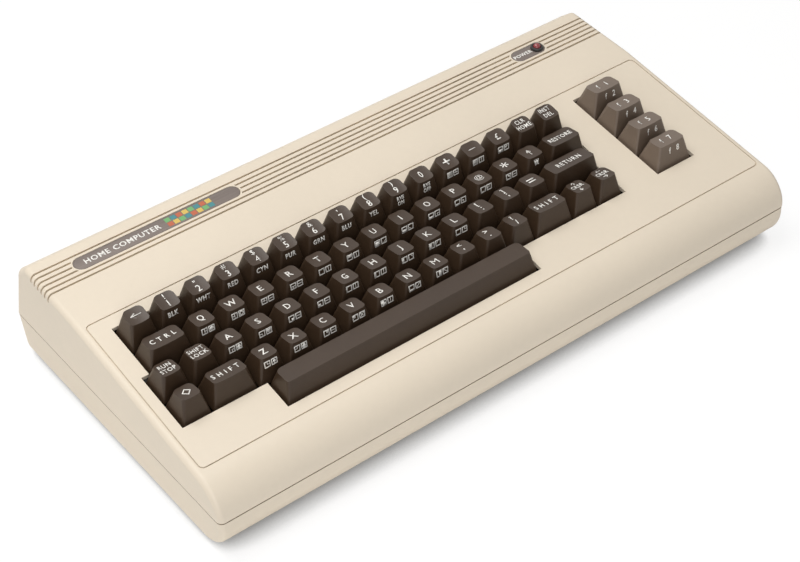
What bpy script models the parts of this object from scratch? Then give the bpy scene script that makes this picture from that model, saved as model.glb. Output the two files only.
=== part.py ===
"""A vintage home computer with its keyboard built into a wedge-shaped case.

Metres, +Z up. The origin lies on the table under the middle of the case, X runs along the keyboard
to the right, and Y runs from the front edge to the sockets at the rear.
"""

import math

import bmesh
import bpy
from mathutils import Matrix, Vector

for old in list(bpy.data.objects):
    bpy.data.objects.remove(old, do_unlink=True)

# Keyboard grid. Every cap stands in a cell that is a whole or a part number of key units wide.
key_unit = 0.01905
key_rows = 5
key_travel = 0.004
cell_inset = 0.00055
opening_margin = 0.0006
step_share = 0.25
row_end_share = 16
function_start_share = 17.164
function_width_share = 1.5

# Case, as a side profile that is pushed out sideways and rounded along its two ends.
keyboard_tilt = math.radians(10.0)
band_tilt = math.radians(5.66)
rear_slope_tilt = math.radians(36.0)
rear_wall_lean = math.radians(20.6)
ridge_radius = 0.003
shoulder_radius = 0.006
left_margin = 0.01154
right_margin = 0.03215
front_margin = 0.0115
rear_margin = 0.01696
band_length = 0.0515
rear_slope_length = 0.0136
nose_radius = 0.0208
nose_centre_height = 0.028
seam_height = 0.027
seam_gap = 0.0003
case_wall = 0.0025
side_edge_radius = 0.0035
lower_inset = 0.0005
lower_nose_radius = 0.0205
lower_rear_radius = 0.006
lower_rear_draw = 0.0035
feet_height = 0.002
nose_steps = 8
edge_steps = 3

# Running and fitting clearances.
fit_gap = 0.0003
cut_overrun = 0.004

# Places that follow from the sizes above: the side profile is walked from the front to the rear.
slope_length = front_margin + key_rows * key_unit + rear_margin
key_field_width = (step_share + function_start_share + function_width_share) * key_unit
case_width = left_margin + key_field_width + right_margin
nose_top = Vector((nose_radius * (1 - math.sin(keyboard_tilt)),
                   nose_centre_height + nose_radius * math.cos(keyboard_tilt)))
slope_direction = Vector((math.cos(keyboard_tilt), math.sin(keyboard_tilt)))
band_direction = Vector((math.cos(band_tilt), math.sin(band_tilt)))
rear_slope_direction = Vector((math.cos(rear_slope_tilt), -math.sin(rear_slope_tilt)))
rear_wall_direction = Vector((math.sin(rear_wall_lean), -math.cos(rear_wall_lean)))
bend = nose_top + slope_length * slope_direction
ridge = bend + band_length * band_direction
shoulder = ridge + rear_slope_length * rear_slope_direction
rear_wall_length = (shoulder.y - seam_height) / math.cos(rear_wall_lean)
rear_foot = shoulder + rear_wall_length * rear_wall_direction
case_depth = rear_foot.x
front_y = -case_depth / 2
rear_y = case_depth / 2
key_origin = nose_top + (front_margin + key_rows * key_unit) * slope_direction
key_origin_x = -case_width / 2 + left_margin + step_share * key_unit
case_height = ridge.y

parts = bpy.data.collections.new("home_computer")
cutters = bpy.data.collections.new("cutters")
bpy.context.scene.collection.children.link(parts)
bpy.context.scene.collection.children.link(cutters)


def material(name, colour, roughness, metallic=0.0):
    """A plain finish: colour is linear red, green, blue."""
    finish = bpy.data.materials.new(name)
    finish.use_nodes = True
    shader = finish.node_tree.nodes["Principled BSDF"]
    shader.inputs["Base Color"].default_value = (*colour, 1.0)
    shader.inputs["Roughness"].default_value = roughness
    shader.inputs["Metallic"].default_value = metallic
    return finish


case_plastic = material("cream_case_plastic", (0.76, 0.67, 0.53), 0.45)
key_plastic = material("dark_brown_key_plastic", (0.055, 0.042, 0.034), 0.42)
function_key_plastic = material("taupe_key_plastic", (0.17, 0.135, 0.112), 0.42)
badge_metal = material("brushed_grey_badge", (0.26, 0.225, 0.21), 0.35, 0.6)
black_plastic = material("black_plastic", (0.012, 0.011, 0.011), 0.5)
red_lens = material("red_lamp_lens", (0.28, 0.012, 0.016), 0.15)
board_resin = material("green_board_resin", (0.03, 0.12, 0.05), 0.4)
tinned_metal = material("tinned_metal", (0.6, 0.6, 0.58), 0.3, 1.0)
rubber = material("dark_rubber", (0.02, 0.02, 0.02), 0.85)


def linked(name, mesh, collection, parent=None):
    made = bpy.data.objects.new(name, mesh)
    collection.objects.link(made)
    made.parent = parent
    return made


def add_part(name, mesh, finish, parent=None, smooth=False):
    made = linked(name, mesh, parts, parent)
    mesh.materials.clear()
    mesh.materials.append(finish)
    if smooth:
        mesh.shade_smooth()
        mesh.set_sharp_from_angle(angle=math.radians(35))
    return made


def add_cutter(name, mesh, parent=None):
    made = linked(name, mesh, cutters, parent)
    made.hide_render = True
    made.display_type = "WIRE"
    return made


def combine(target, other, operation="DIFFERENCE"):
    step = target.modifiers.new(other.name, "BOOLEAN")
    step.operation = operation
    step.object = other
    return step


def mesh_from(shape, name):
    bmesh.ops.recalc_face_normals(shape, faces=shape.faces)
    mesh = bpy.data.meshes.new(name)
    shape.to_mesh(mesh)
    shape.free()
    return mesh


def add_box(shape, low, high):
    low, high = Vector(low), Vector(high)
    size = Matrix.Diagonal((*(high - low), 1.0))
    bmesh.ops.create_cube(shape, size=1.0, matrix=Matrix.Translation((low + high) / 2) @ size)


def boxes(name, spans):
    """One mesh of boxes, each given by its lowest and highest corner."""
    shape = bmesh.new()
    for low, high in spans:
        add_box(shape, low, high)
    return mesh_from(shape, name)


AXIS_TURNS = {"X": Matrix.Rotation(math.pi / 2, 4, "Y"), "Y": Matrix.Rotation(-math.pi / 2, 4, "X"),
              "Z": Matrix.Identity(4)}


def add_rod(shape, centre, axis, radius, low, high, sides=16):
    """A cylinder along an axis; low and high are its ends, measured from the centre."""
    place = Matrix.Translation(centre) @ AXIS_TURNS[axis] @ Matrix.Translation((0, 0, (low + high) / 2))
    bmesh.ops.create_cone(shape, cap_ends=True, segments=sides, radius1=radius, radius2=radius,
                          depth=high - low, matrix=place)


def rods(name, centres, axis, radius, low, high, sides=16):
    shape = bmesh.new()
    for centre in centres:
        add_rod(shape, centre, axis, radius, low, high, sides)
    return mesh_from(shape, name)


def turned_part(name, profile, finish, place, parent=None, steps=20):
    """A body turned about its upright axis, from (radius, height) points that start and end on it."""
    mesh = bpy.data.meshes.new(name)
    spots = [(radius, 0.0, height) for radius, height in profile]
    mesh.from_pydata(spots, [(index, index + 1) for index in range(len(spots) - 1)], [])
    made = add_part(name, mesh, finish, parent)
    made.location = place
    turn = made.modifiers.new("turn", "SCREW")
    turn.axis = "Z"
    turn.steps = turn.render_steps = steps
    turn.use_merge_vertices = True
    turn.merge_threshold = fit_gap / 6
    turn.use_smooth_shade = True
    return made


def outline_solid(name, points, half_thickness, offset=0.0):
    """A flat closed outline, filled and thickened both ways, as a welded mesh in its own XY plane."""
    curve = bpy.data.curves.new(name, "CURVE")
    curve.dimensions = "2D"
    curve.fill_mode = "BOTH"
    curve.extrude = half_thickness
    spline = curve.splines.new("POLY")
    spline.points.add(len(points) - 1)
    for spot, (x, y) in zip(spline.points, points):
        spot.co = (x, y, 0.0, 1.0)
    spline.use_cyclic_u = True
    drawn = linked(name, curve, cutters)
    depsgraph = bpy.context.evaluated_depsgraph_get()
    mesh = bpy.data.meshes.new_from_object(drawn.evaluated_get(depsgraph))
    bpy.data.objects.remove(drawn, do_unlink=True)
    shape = bmesh.new()
    shape.from_mesh(mesh)
    bmesh.ops.remove_doubles(shape, verts=shape.verts, dist=fit_gap / 10)
    bmesh.ops.dissolve_limit(shape, angle_limit=math.radians(1), verts=shape.verts, edges=shape.edges)
    bmesh.ops.translate(shape, verts=shape.verts, vec=(0, 0, offset))
    return mesh_from(shape, name)


def arc(centre, radius, first, last, steps):
    """Points on an arc from one angle to another, both in radians."""
    turns = [first + (last - first) * step / steps for step in range(steps + 1)]
    return [(centre[0] + radius * math.cos(turn), centre[1] + radius * math.sin(turn)) for turn in turns]


def pill(centre_x, centre_y, length, width, steps=8):
    """A rectangle with two round ends."""
    radius = width / 2
    reach = length / 2 - radius
    right = arc((centre_x + reach, centre_y), radius, -math.pi / 2, math.pi / 2, steps)
    left = arc((centre_x - reach, centre_y), radius, math.pi / 2, math.pi * 3 / 2, steps)
    return right + left


def rounded_rectangle(left, right, front, rear, radius, steps=3):
    points = []
    for x, y, first in ((right, rear, 0), (left, rear, 1), (left, front, 2), (right, front, 3)):
        centre = (x - math.copysign(radius, x - (left + right) / 2),
                  y - math.copysign(radius, y - (front + rear) / 2))
        points += arc(centre, radius, first * math.pi / 2, (first + 1) * math.pi / 2, steps)
    return points


def meeting(point_a, direction_a, point_b, direction_b, inset):
    """Where two neighbouring profile lines meet after both have moved inwards by the inset."""
    shift_a = Vector((direction_a.y, -direction_a.x)) * inset
    shift_b = Vector((direction_b.y, -direction_b.x)) * inset
    start_a, start_b = point_a + shift_a, point_b + shift_b
    along = (start_b - start_a).cross(direction_b) / direction_a.cross(direction_b)
    return start_a + along * direction_a


def filleted(corner, before, after, radius, steps):
    """A corner between two profile directions, rounded on its outer side."""
    turn = before.angle(after)
    reach = radius * math.tan(turn / 2)
    start = corner - reach * before
    centre = start + radius * Vector((before.y, -before.x))
    first = math.atan2(before.x, -before.y)
    return arc(centre, radius, first, first - turn, steps)


def upper_profile(inset, bottom):
    """The upper case from the side, as (Y, Z) points, with its walls moved in by the inset."""
    nose = arc((nose_radius, nose_centre_height), nose_radius - inset, math.pi,
               math.pi / 2 + keyboard_tilt, nose_steps)
    corners = [meeting(nose_top, slope_direction, bend, band_direction, inset),
               meeting(bend, band_direction, ridge, rear_slope_direction, inset),
               meeting(ridge, rear_slope_direction, shoulder, rear_wall_direction, inset)]
    if inset == 0:
        corners = ([corners[0]]
                   + filleted(corners[1], band_direction, rear_slope_direction, ridge_radius, edge_steps)
                   + filleted(corners[2], rear_slope_direction, rear_wall_direction, shoulder_radius,
                              edge_steps))
    wall_shift = inset / math.cos(rear_wall_lean)
    foot_y = rear_foot.x - wall_shift
    lower_foot_y = foot_y + (seam_height - bottom) * math.tan(rear_wall_lean)
    outline = [(inset, bottom)] + nose + [tuple(corner) for corner in corners]
    outline.append((lower_foot_y if inset == 0 else foot_y, bottom))
    return [(y + front_y, z) for y, z in outline]


def lower_profile(inset, top):
    """The lower case from the side, as (Y, Z) points."""
    floor = feet_height + inset
    nose_centre = (front_y + lower_inset + lower_nose_radius, feet_height + lower_nose_radius)
    nose = arc(nose_centre, lower_nose_radius - inset, math.pi, math.pi * 3 / 2, nose_steps)
    rear_top = rear_y - lower_inset - inset
    rear_low = rear_top - lower_rear_draw
    heel_radius = lower_rear_radius - inset
    heel_centre = (rear_low - heel_radius, floor + heel_radius)
    heel = arc(heel_centre, heel_radius, -math.pi / 2, 0, edge_steps)
    return [(front_y + lower_inset + inset, top)] + nose + heel + [(rear_top, top)]


def pushed_profile(name, points, width, edge_radius=0.0, seam=None):
    """A side profile pushed out along X, with both ends rounded except along the seam."""
    mesh = outline_solid(name, points, width / 2)
    mesh.transform(Matrix(((0, 0, 1, 0), (1, 0, 0, 0), (0, 1, 0, 0), (0, 0, 0, 1))))
    if not edge_radius:
        return mesh
    shape = bmesh.new()
    shape.from_mesh(mesh)
    ends = [edge for edge in shape.edges
            if any(all(abs(spot.co.x - end) < fit_gap / 10 for spot in edge.verts)
                   for end in (-width / 2, width / 2))
            and not all(abs(spot.co.z - seam) < fit_gap / 10 for spot in edge.verts)]
    bmesh.ops.bevel(shape, geom=ends, offset=edge_radius, segments=edge_steps, profile=0.5,
                    affect="EDGES", clamp_overlap=True)
    return mesh_from(shape, name)


# Frames of reference. The keyboard frame lies on the sloping top, with its origin at the rear left
# corner of the first key cell; the band frame starts at the bend behind it.
keyboard_axes = bpy.data.objects.new("keyboard_axes", None)
keyboard_axes.location = (key_origin_x, key_origin.x + front_y, key_origin.y)
keyboard_axes.rotation_euler = (keyboard_tilt, 0, 0)
band_axes = bpy.data.objects.new("band_axes", None)
band_axes.location = (0, bend.x + front_y, bend.y)
band_axes.rotation_euler = (band_tilt, 0, 0)
for axes in (keyboard_axes, band_axes):
    cutters.objects.link(axes)
bpy.context.view_layer.update()


# Keycaps. Each row has its own sculpted top: the insets of the top face from the cell at the sides,
# the front and the rear, and the heights of its front and rear edges above the case.
cap_skirt_depth = 0.003
cap_base_radius = 0.0012
cap_front_radius = 0.0012
cap_rear_radius = 0.0035
dish_depth = 0.0007
stem_width = 0.005
gang_bar_height = 0.0015
gang_bar_depth = 0.004

number_row_top = {"side": 0.0036, "front": 0.0050, "rear": 0.0030, "front_height": 0.0135,
                  "rear_height": 0.0141}
upper_row_top = {"side": 0.0038, "front": 0.0050, "rear": 0.0021, "front_height": 0.0122,
                 "rear_height": 0.0092}
home_row_top = {"side": 0.0039, "front": 0.0052, "rear": 0.0016, "front_height": 0.0127,
                "rear_height": 0.0089}
lower_row_top = {"side": 0.0040, "front": 0.0055, "rear": 0.0021, "front_height": 0.0128,
                 "rear_height": 0.0092}
space_row_top = {"side": 0.0034, "front": 0.0057, "rear": 0.0014, "front_height": 0.0104,
                 "rear_height": 0.0086}
function_key_top = {"side": 0.0045, "front": 0.0060, "rear": 0.0022, "front_height": 0.0133,
                    "rear_height": 0.0108}

# Each entry is a node with the key units at which it starts, the width of one cap and its number of
# caps. A run of caps in one node is joined by a bar below the caps.
number_row_shares = (("key_left_arrow", 0, 1, 1), ("keys_digits", 1, 1, 10), ("key_plus", 11, 1, 1),
                     ("key_minus", 12, 1, 1), ("key_pound", 13, 1, 1), ("key_clear_home", 14, 1, 1),
                     ("key_insert_delete", 15, 1, 1))
upper_row_shares = (("key_control", 0, 1.5, 1), ("keys_q_to_p", 1.5, 1, 10), ("key_at", 11.5, 1, 1),
                    ("key_star", 12.5, 1, 1), ("key_up_arrow", 13.5, 1, 1),
                    ("key_restore", 14.5, 1.5, 1))
home_row_shares = (("key_run_stop", -step_share, 1, 1), ("key_shift_lock", 1 - step_share, 1, 1),
                   ("keys_a_to_l", 2 - step_share, 1, 9), ("key_colon", 11 - step_share, 1, 1),
                   ("key_semicolon", 12 - step_share, 1, 1), ("key_equals", 13 - step_share, 1, 1),
                   ("key_return", 14 - step_share, 2, 1))
lower_row_shares = (("key_corner", -step_share, 1, 1), ("key_shift_left", 1 - step_share, 1.5, 1),
                    ("keys_z_to_m", 2.25, 1, 7), ("key_comma", 9.25, 1, 1), ("key_period", 10.25, 1, 1),
                    ("key_slash", 11.25, 1, 1), ("key_shift_right", 12.25, 1.5, 1),
                    ("key_cursor_down", 13.75, 1, 1), ("key_cursor_right", 14.75, 1, 1))
space_start_share = 2.5
space_width_share = 9
space_row_shares = (("space_bar", space_start_share, space_width_share, 1),)
main_rows = ((number_row_shares, number_row_top), (upper_row_shares, upper_row_top),
             (home_row_shares, home_row_top), (lower_row_shares, lower_row_top),
             (space_row_shares, space_row_top))

# Levels below the surface of the case, measured square to it.
guide_top = -(cap_skirt_depth + gang_bar_height + key_travel + fit_gap)
guide_thickness = 0.003
guide_bottom = guide_top - guide_thickness
stem_end_clearance = 0.0012
stem_end = guide_bottom - stem_end_clearance
contact_top = stem_end - key_travel - fit_gap
contact_board_thickness = 0.0016
contact_bottom = contact_top - contact_board_thickness


def cap_ring(width, low_y, high_y, front_radius, rear_radius, low_z, high_z, dip):
    """One level of a cap: a rectangle with small front and larger rear corners; z follows y."""
    half = width / 2
    corners = ((half, low_y, front_radius, -math.pi / 2, 2), (half, high_y, rear_radius, 0, 3),
               (-half, high_y, rear_radius, math.pi / 2, 3), (-half, low_y, front_radius, math.pi, 2))
    points = []
    for x, y, radius, first, steps in corners:
        centre = (x - math.copysign(radius, x), y - math.copysign(radius, y - (low_y + high_y) / 2))
        points += arc(centre, radius, first, first + math.pi / 2, steps)
        if y == high_y and x > 0:
            points.append((0.0, high_y))
    points.append((0.0, low_y))
    slope = (high_z - low_z) / (high_y - low_y)
    return [Vector((x, y, low_z + (y - low_y) * slope - (dip if x == 0.0 else 0.0))) for x, y in points]


def add_cap(shape, centre_x, rear_edge, width, top):
    """One keycap with its stem, as a closed body in the keyboard frame."""
    front_edge = rear_edge - key_unit
    middle = (front_edge + rear_edge) / 2
    base = cap_ring(width - 2 * cell_inset, front_edge + cell_inset, rear_edge - cell_inset,
                    cap_base_radius, cap_base_radius, -cap_skirt_depth, -cap_skirt_depth, 0.0)
    face = cap_ring(width - 2 * top["side"], front_edge + top["front"], rear_edge - top["rear"],
                    cap_front_radius, cap_rear_radius, top["front_height"], top["rear_height"],
                    dish_depth / 2)
    shift = Vector((centre_x, 0, 0))
    base = [shape.verts.new(point + shift) for point in base]
    face = [shape.verts.new(point + shift) for point in face]
    count = len(base)
    for index in range(count):
        after = (index + 1) % count
        shape.faces.new((base[index], base[after], face[after], face[index]))
    middle_height = (top["front_height"] + top["rear_height"]) / 2 - dish_depth
    face_middle = (front_edge + top["front"] + rear_edge - top["rear"]) / 2
    crown = shape.verts.new(Vector((centre_x, face_middle, middle_height)))
    for index in range(count):
        shape.faces.new((face[index], face[(index + 1) % count], crown))
    half = stem_width / 2
    square = [(half, -half), (half, half), (-half, half), (-half, -half)]
    collar = [shape.verts.new((centre_x + x, middle + y, -cap_skirt_depth)) for x, y in square]
    foot = [shape.verts.new((centre_x + x, middle + y, stem_end)) for x, y in square]
    for index in range(4):
        after = (index + 1) % 4
        shape.faces.new((collar[index], foot[index], foot[after], collar[after]))
    shape.faces.new(foot)
    rims = [shape.edges.get((ring[index], ring[(index + 1) % len(ring)]))
            for ring in (base, collar) for index in range(len(ring))]
    bmesh.ops.bridge_loops(shape, edges=rims)


stem_places = []


def add_keys(entry, row, top, finish):
    name, start, width_share, count = entry
    rear_edge = -row * key_unit
    width = width_share * key_unit
    centres = [(start + width_share * (index + 0.5)) * key_unit for index in range(count)]
    shape = bmesh.new()
    for centre_x in centres:
        add_cap(shape, centre_x, rear_edge, width, top)
    caps = add_part(name, mesh_from(shape, name), finish, keyboard_axes, smooth=True)
    stem_places.extend((centre_x, rear_edge - key_unit / 2) for centre_x in centres)
    if count > 1:
        middle = rear_edge - key_unit / 2
        bar = boxes(name + "_bar", [((centres[0], middle - gang_bar_depth / 2,
                                      -cap_skirt_depth - gang_bar_height),
                                     (centres[-1], middle + gang_bar_depth / 2,
                                      -cap_skirt_depth + cell_inset))])
        combine(caps, add_cutter(name + "_bar", bar, keyboard_axes), "UNION")


for row, (entries, top) in enumerate(main_rows):
    for entry in entries:
        add_keys(entry, row, top, key_plastic)
for row, name in enumerate(("key_f1", "key_f3", "key_f5", "key_f7")):
    entry = (name, function_start_share, function_width_share, 1)
    add_keys(entry, row, function_key_top, function_key_plastic)


# Keyboard frame. A deep tray that hangs under the upper case round both key openings, with a plate
# in which every stem slides.
frame_rim = 0.0025
frame_margin = 0.0035
frame_top = -case_wall - fit_gap
frame_left = -step_share * key_unit - opening_margin - frame_margin
frame_right = (function_start_share + function_width_share) * key_unit + opening_margin + frame_margin
frame_rear = opening_margin + frame_margin
frame_front = -key_rows * key_unit - opening_margin - frame_margin
rim_bottom = contact_top + fit_gap
guide_half = stem_width / 2 + fit_gap
keyboard_frame = add_part(
    "keyboard_frame",
    boxes("keyboard_frame", [((frame_left - frame_rim, frame_front - frame_rim, rim_bottom),
                              (frame_right + frame_rim, frame_rear + frame_rim, frame_top))]),
    black_plastic, keyboard_axes)
frame_pockets = boxes("frame_pockets", [
    ((frame_left, frame_front, guide_top), (frame_right, frame_rear, frame_top + cut_overrun)),
    ((frame_left, frame_front, rim_bottom - cut_overrun), (frame_right, frame_rear, guide_bottom))])
guide_holes = boxes("guide_holes", [
    ((x - guide_half, y - guide_half, guide_bottom - fit_gap),
     (x + guide_half, y + guide_half, guide_top + fit_gap)) for x, y in stem_places])
combine(keyboard_frame, add_cutter("frame_pockets", frame_pockets, keyboard_axes))
combine(keyboard_frame, add_cutter("guide_holes", guide_holes, keyboard_axes))

# Keyboard circuit board. The flat board under the frame that the stems press on.
add_part("keyboard_circuit_board",
         boxes("keyboard_circuit_board",
               [((frame_left - frame_rim, frame_front - frame_rim, contact_bottom),
                 (frame_right + frame_rim, frame_rear + frame_rim, contact_top))]),
         board_resin, keyboard_axes)


# Places of the ports. Those at the rear follow one another from the right end of the case to the
# left, and those at the right side follow one another from the front edge of the main board.
port_clearance = 0.0006
edge_bay_clearance = 0.003
din_side = 0.019
cartridge_right_inset = 0.032
cartridge_width = 0.066
modulator_gap = 0.003
modulator_width = 0.040
video_gap = 0.0105
serial_gap = 0.009
cassette_gap = 0.0245
cassette_edge_width = 0.026
user_gap = 0.034
user_edge_width = 0.050
board_front_clearance = 0.026
control_front_inset = 0.0107
control_length = 0.031
control_gap = 0.006
switch_gap = 0.0025
switch_length = 0.026
power_gap = 0.0115
cartridge_x = case_width / 2 - cartridge_right_inset - cartridge_width / 2
cartridge_bay_left = cartridge_x - cartridge_width / 2 - edge_bay_clearance
modulator_x = cartridge_bay_left - modulator_gap - modulator_width / 2
video_x = modulator_x - modulator_width / 2 - video_gap - din_side / 2
serial_x = video_x - din_side - serial_gap
cassette_bay_right = serial_x - din_side / 2 - cassette_gap
cassette_edge_x = cassette_bay_right - edge_bay_clearance - cassette_edge_width / 2
user_bay_right = cassette_edge_x - cassette_edge_width / 2 - edge_bay_clearance - user_gap
user_edge_x = user_bay_right - edge_bay_clearance - user_edge_width / 2
board_front = front_y + board_front_clearance
control_front_y = board_front + control_front_inset + control_length / 2
control_rear_y = control_front_y + control_length + control_gap
switch_y = control_rear_y + control_length / 2 + switch_gap + switch_length / 2
power_y = switch_y + switch_length / 2 + power_gap + din_side / 2

# Main board. It lies on posts in the lower case, fills most of it, and reaches into the rear wall
# with two bare edge connectors.
board_top = 0.016
board_thickness = 0.0016
board_side_clearance = 0.002
board_rear_clearance = 0.009
post_radius = 0.0035
post_side_inset = 0.012
post_end_inset = 0.010
edge_tongue_length = 0.005
chip_height = 0.004
chip_width = 0.015
chip_length = 0.038
chip_pitch = 0.040
chip_front_margin = 0.012
chip_gap = 0.012
front_chips = 6
rear_chips = 4
board_left = -case_width / 2 + case_wall + lower_inset + board_side_clearance
board_right = -board_left
board_rear = rear_y - board_rear_clearance
board_bottom = board_top - board_thickness
board_outline = [(board_left, board_front), (board_right, board_front), (board_right, board_rear)]
for centre_x, width in ((cassette_edge_x, cassette_edge_width), (user_edge_x, user_edge_width)):
    board_outline += [(centre_x + width / 2, board_rear),
                      (centre_x + width / 2, board_rear + edge_tongue_length),
                      (centre_x - width / 2, board_rear + edge_tongue_length),
                      (centre_x - width / 2, board_rear)]
board_outline.append((board_left, board_rear))
main_board = add_part("main_board",
                      outline_solid("main_board", board_outline, board_thickness / 2,
                                    board_top - board_thickness / 2),
                      board_resin)
chip_y = board_front + chip_front_margin
chip_spans = []
for row, chips in enumerate((front_chips, rear_chips)):
    y = chip_y + row * (chip_length + chip_gap)
    for index in range(chips):
        x = (index - front_chips / 2) * chip_pitch
        chip_spans.append(((x, y, board_bottom + fit_gap),
                           (x + chip_width, y + chip_length, board_top + chip_height)))
combine(main_board, add_cutter("chips", boxes("chips", chip_spans)), "UNION")


# Sockets on the main board. Each has its own block, its opening in the case, and its clearance.
socket_seat = board_top + fit_gap
din_depth = 0.017
din_ring_radius = 0.0072
din_insert_radius = 0.0052
din_ring_depth = 0.008
din_pin_radius = 0.0009
din_pin_circle = 0.0032
control_height = 0.0125
control_depth = 0.011
control_shell_length = 0.0180
control_shell_height = 0.0092
control_shell_rise = 0.006
control_shell_wall = 0.0008
control_pin_radius = 0.0005
control_pin_length = 0.0048
control_pin_pitch = 0.00276
control_row_pitch = 0.00284
side_face = case_width / 2 - case_wall - 2 * fit_gap
rear_face = rear_y - case_wall - board_rear_clearance / 2


def din_socket(name, place, axis, pins):
    """A square socket block with a ring-shaped groove and a ring of pin holes in its face."""
    x, y, z = place
    half = din_side / 2
    if axis == "Y":
        span = ((x - half, y - din_depth, z), (x + half, y, z + din_side))
    else:
        span = ((x - din_depth, y - half, z), (x, y + half, z + din_side))
    block = add_part(name, boxes(name, [span]), black_plastic)
    middle = (x, y, z + half)
    groove = add_cutter(name + "_groove", rods(name + "_groove", [middle], axis, din_ring_radius,
                                                -din_ring_depth, cut_overrun, 24))
    insert = add_cutter(name + "_insert", rods(name + "_insert", [middle], axis, din_insert_radius,
                                                -din_depth / 2, 2 * cut_overrun, 20))
    combine(groove, insert)
    combine(block, groove)
    holes = []
    for index in range(pins):
        turn = math.pi * (index / (pins - 1) - 1)
        across, up = din_pin_circle * math.cos(turn), din_pin_circle * math.sin(turn)
        holes.append((x + across, y, z + half + up) if axis == "Y" else (x, y + across, z + half + up))
    combine(block, add_cutter(name + "_holes", rods(name + "_holes", holes, axis, din_pin_radius,
                                                     -din_ring_depth, cut_overrun, 6)))
    return block


din_socket("video_socket", (video_x, rear_face, socket_seat), "Y", 5)
din_socket("serial_socket", (serial_x, rear_face, socket_seat), "Y", 6)
din_socket("power_socket", (side_face, power_y, socket_seat), "X", 7)


def control_port(name, centre_y):
    """A nine-pin plug socket: a block with a raised shell, open to the right, and its pins."""
    low = socket_seat
    middle_z = low + control_height / 2
    block_face = side_face - control_shell_rise
    block = boxes(name, [((block_face - control_depth, centre_y - control_length / 2, low),
                          (block_face, centre_y + control_length / 2, low + control_height))])
    port = add_part(name, block, black_plastic)
    shell_half = (control_shell_length / 2, control_shell_height / 2)
    outer = boxes(name + "_shell", [((block_face - fit_gap, centre_y - shell_half[0],
                                      middle_z - shell_half[1]),
                                     (side_face, centre_y + shell_half[0], middle_z + shell_half[1]))])
    combine(port, add_cutter(name + "_shell", outer), "UNION")
    inner = boxes(name + "_mouth", [((block_face, centre_y - shell_half[0] + control_shell_wall,
                                      middle_z - shell_half[1] + control_shell_wall),
                                     (side_face + cut_overrun,
                                      centre_y + shell_half[0] - control_shell_wall,
                                      middle_z + shell_half[1] - control_shell_wall))])
    combine(port, add_cutter(name + "_mouth", inner))
    pins = []
    for count, side in ((5, 0.5), (4, -0.5)):
        for index in range(count):
            across = (index - (count - 1) / 2) * control_pin_pitch
            pins.append((block_face, centre_y + across, middle_z + side * control_row_pitch))
    combine(port, add_cutter(name + "_pins", rods(name + "_pins", pins, "X", control_pin_radius,
                                                   -fit_gap * 4, control_pin_length, 6)), "UNION")
    return port


control_port("control_port_front", control_front_y)
control_port("control_port_rear", control_rear_y)

# Cartridge socket. A long edge socket well inside the case, facing the rear opening.
cartridge_depth = 0.012
cartridge_height = 0.014
cartridge_bay_depth = 0.034
cartridge_slot_height = 0.003
cartridge_slot_depth = 0.008
cartridge_slot_end = 0.004
cartridge_face = rear_face - cartridge_bay_depth
cartridge_socket = add_part(
    "cartridge_socket",
    boxes("cartridge_socket",
          [((cartridge_x - cartridge_width / 2, cartridge_face - cartridge_depth, socket_seat),
            (cartridge_x + cartridge_width / 2, cartridge_face, socket_seat + cartridge_height))]),
    black_plastic)
slot_middle = socket_seat + cartridge_height / 2
combine(cartridge_socket, add_cutter("cartridge_slot", boxes("cartridge_slot", [
    ((cartridge_x - cartridge_width / 2 + cartridge_slot_end, cartridge_face - cartridge_slot_depth,
      slot_middle - cartridge_slot_height / 2),
     (cartridge_x + cartridge_width / 2 - cartridge_slot_end, cartridge_face + cut_overrun,
      slot_middle + cartridge_slot_height / 2))])))

# Modulator box. A tinned can with the aerial socket on its rear face and a slot for the switch.
modulator_depth = 0.055
modulator_height = 0.020
modulator_wall = 0.001
aerial_offset = -0.008
channel_offset = 0.010
aerial_radius = 0.0043
aerial_bore = 0.0016
aerial_length = 0.008
channel_travel = 0.003
channel_knob = 0.0025
channel_plate = 0.007
channel_length = 0.005
aerial_x = modulator_x + aerial_offset
channel_x = modulator_x + channel_offset
modulator_face = rear_face - aerial_length
modulator_mid = socket_seat + modulator_height / 2
modulator = add_part(
    "rf_modulator_box",
    boxes("rf_modulator_box",
          [((modulator_x - modulator_width / 2, modulator_face - modulator_depth, socket_seat),
            (modulator_x + modulator_width / 2, modulator_face, socket_seat + modulator_height))]),
    tinned_metal)
combine(modulator, add_cutter("modulator_inside", boxes("modulator_inside", [
    ((modulator_x - modulator_width / 2 + modulator_wall,
      modulator_face - modulator_depth + modulator_wall, socket_seat - cut_overrun),
     (modulator_x + modulator_width / 2 - modulator_wall, modulator_face - modulator_wall,
      socket_seat + modulator_height - modulator_wall))])))
combine(modulator, add_cutter("aerial_barrel", rods(
    "aerial_barrel", [(aerial_x, modulator_face, modulator_mid)], "Y", aerial_radius,
    -modulator_wall / 2, aerial_length, 20)), "UNION")
combine(modulator, add_cutter("aerial_bore", rods(
    "aerial_bore", [(aerial_x, modulator_face, modulator_mid)], "Y", aerial_bore,
    modulator_wall, aerial_length + cut_overrun, 12)))
knob_half = channel_knob / 2
combine(modulator, add_cutter("channel_slot", boxes("channel_slot", [
    ((channel_x - knob_half - channel_travel / 2 - fit_gap, modulator_face - 2 * modulator_wall,
      modulator_mid - knob_half - fit_gap),
     (channel_x + knob_half + channel_travel / 2 + fit_gap, modulator_face + cut_overrun,
      modulator_mid + knob_half + fit_gap))])))

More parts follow.
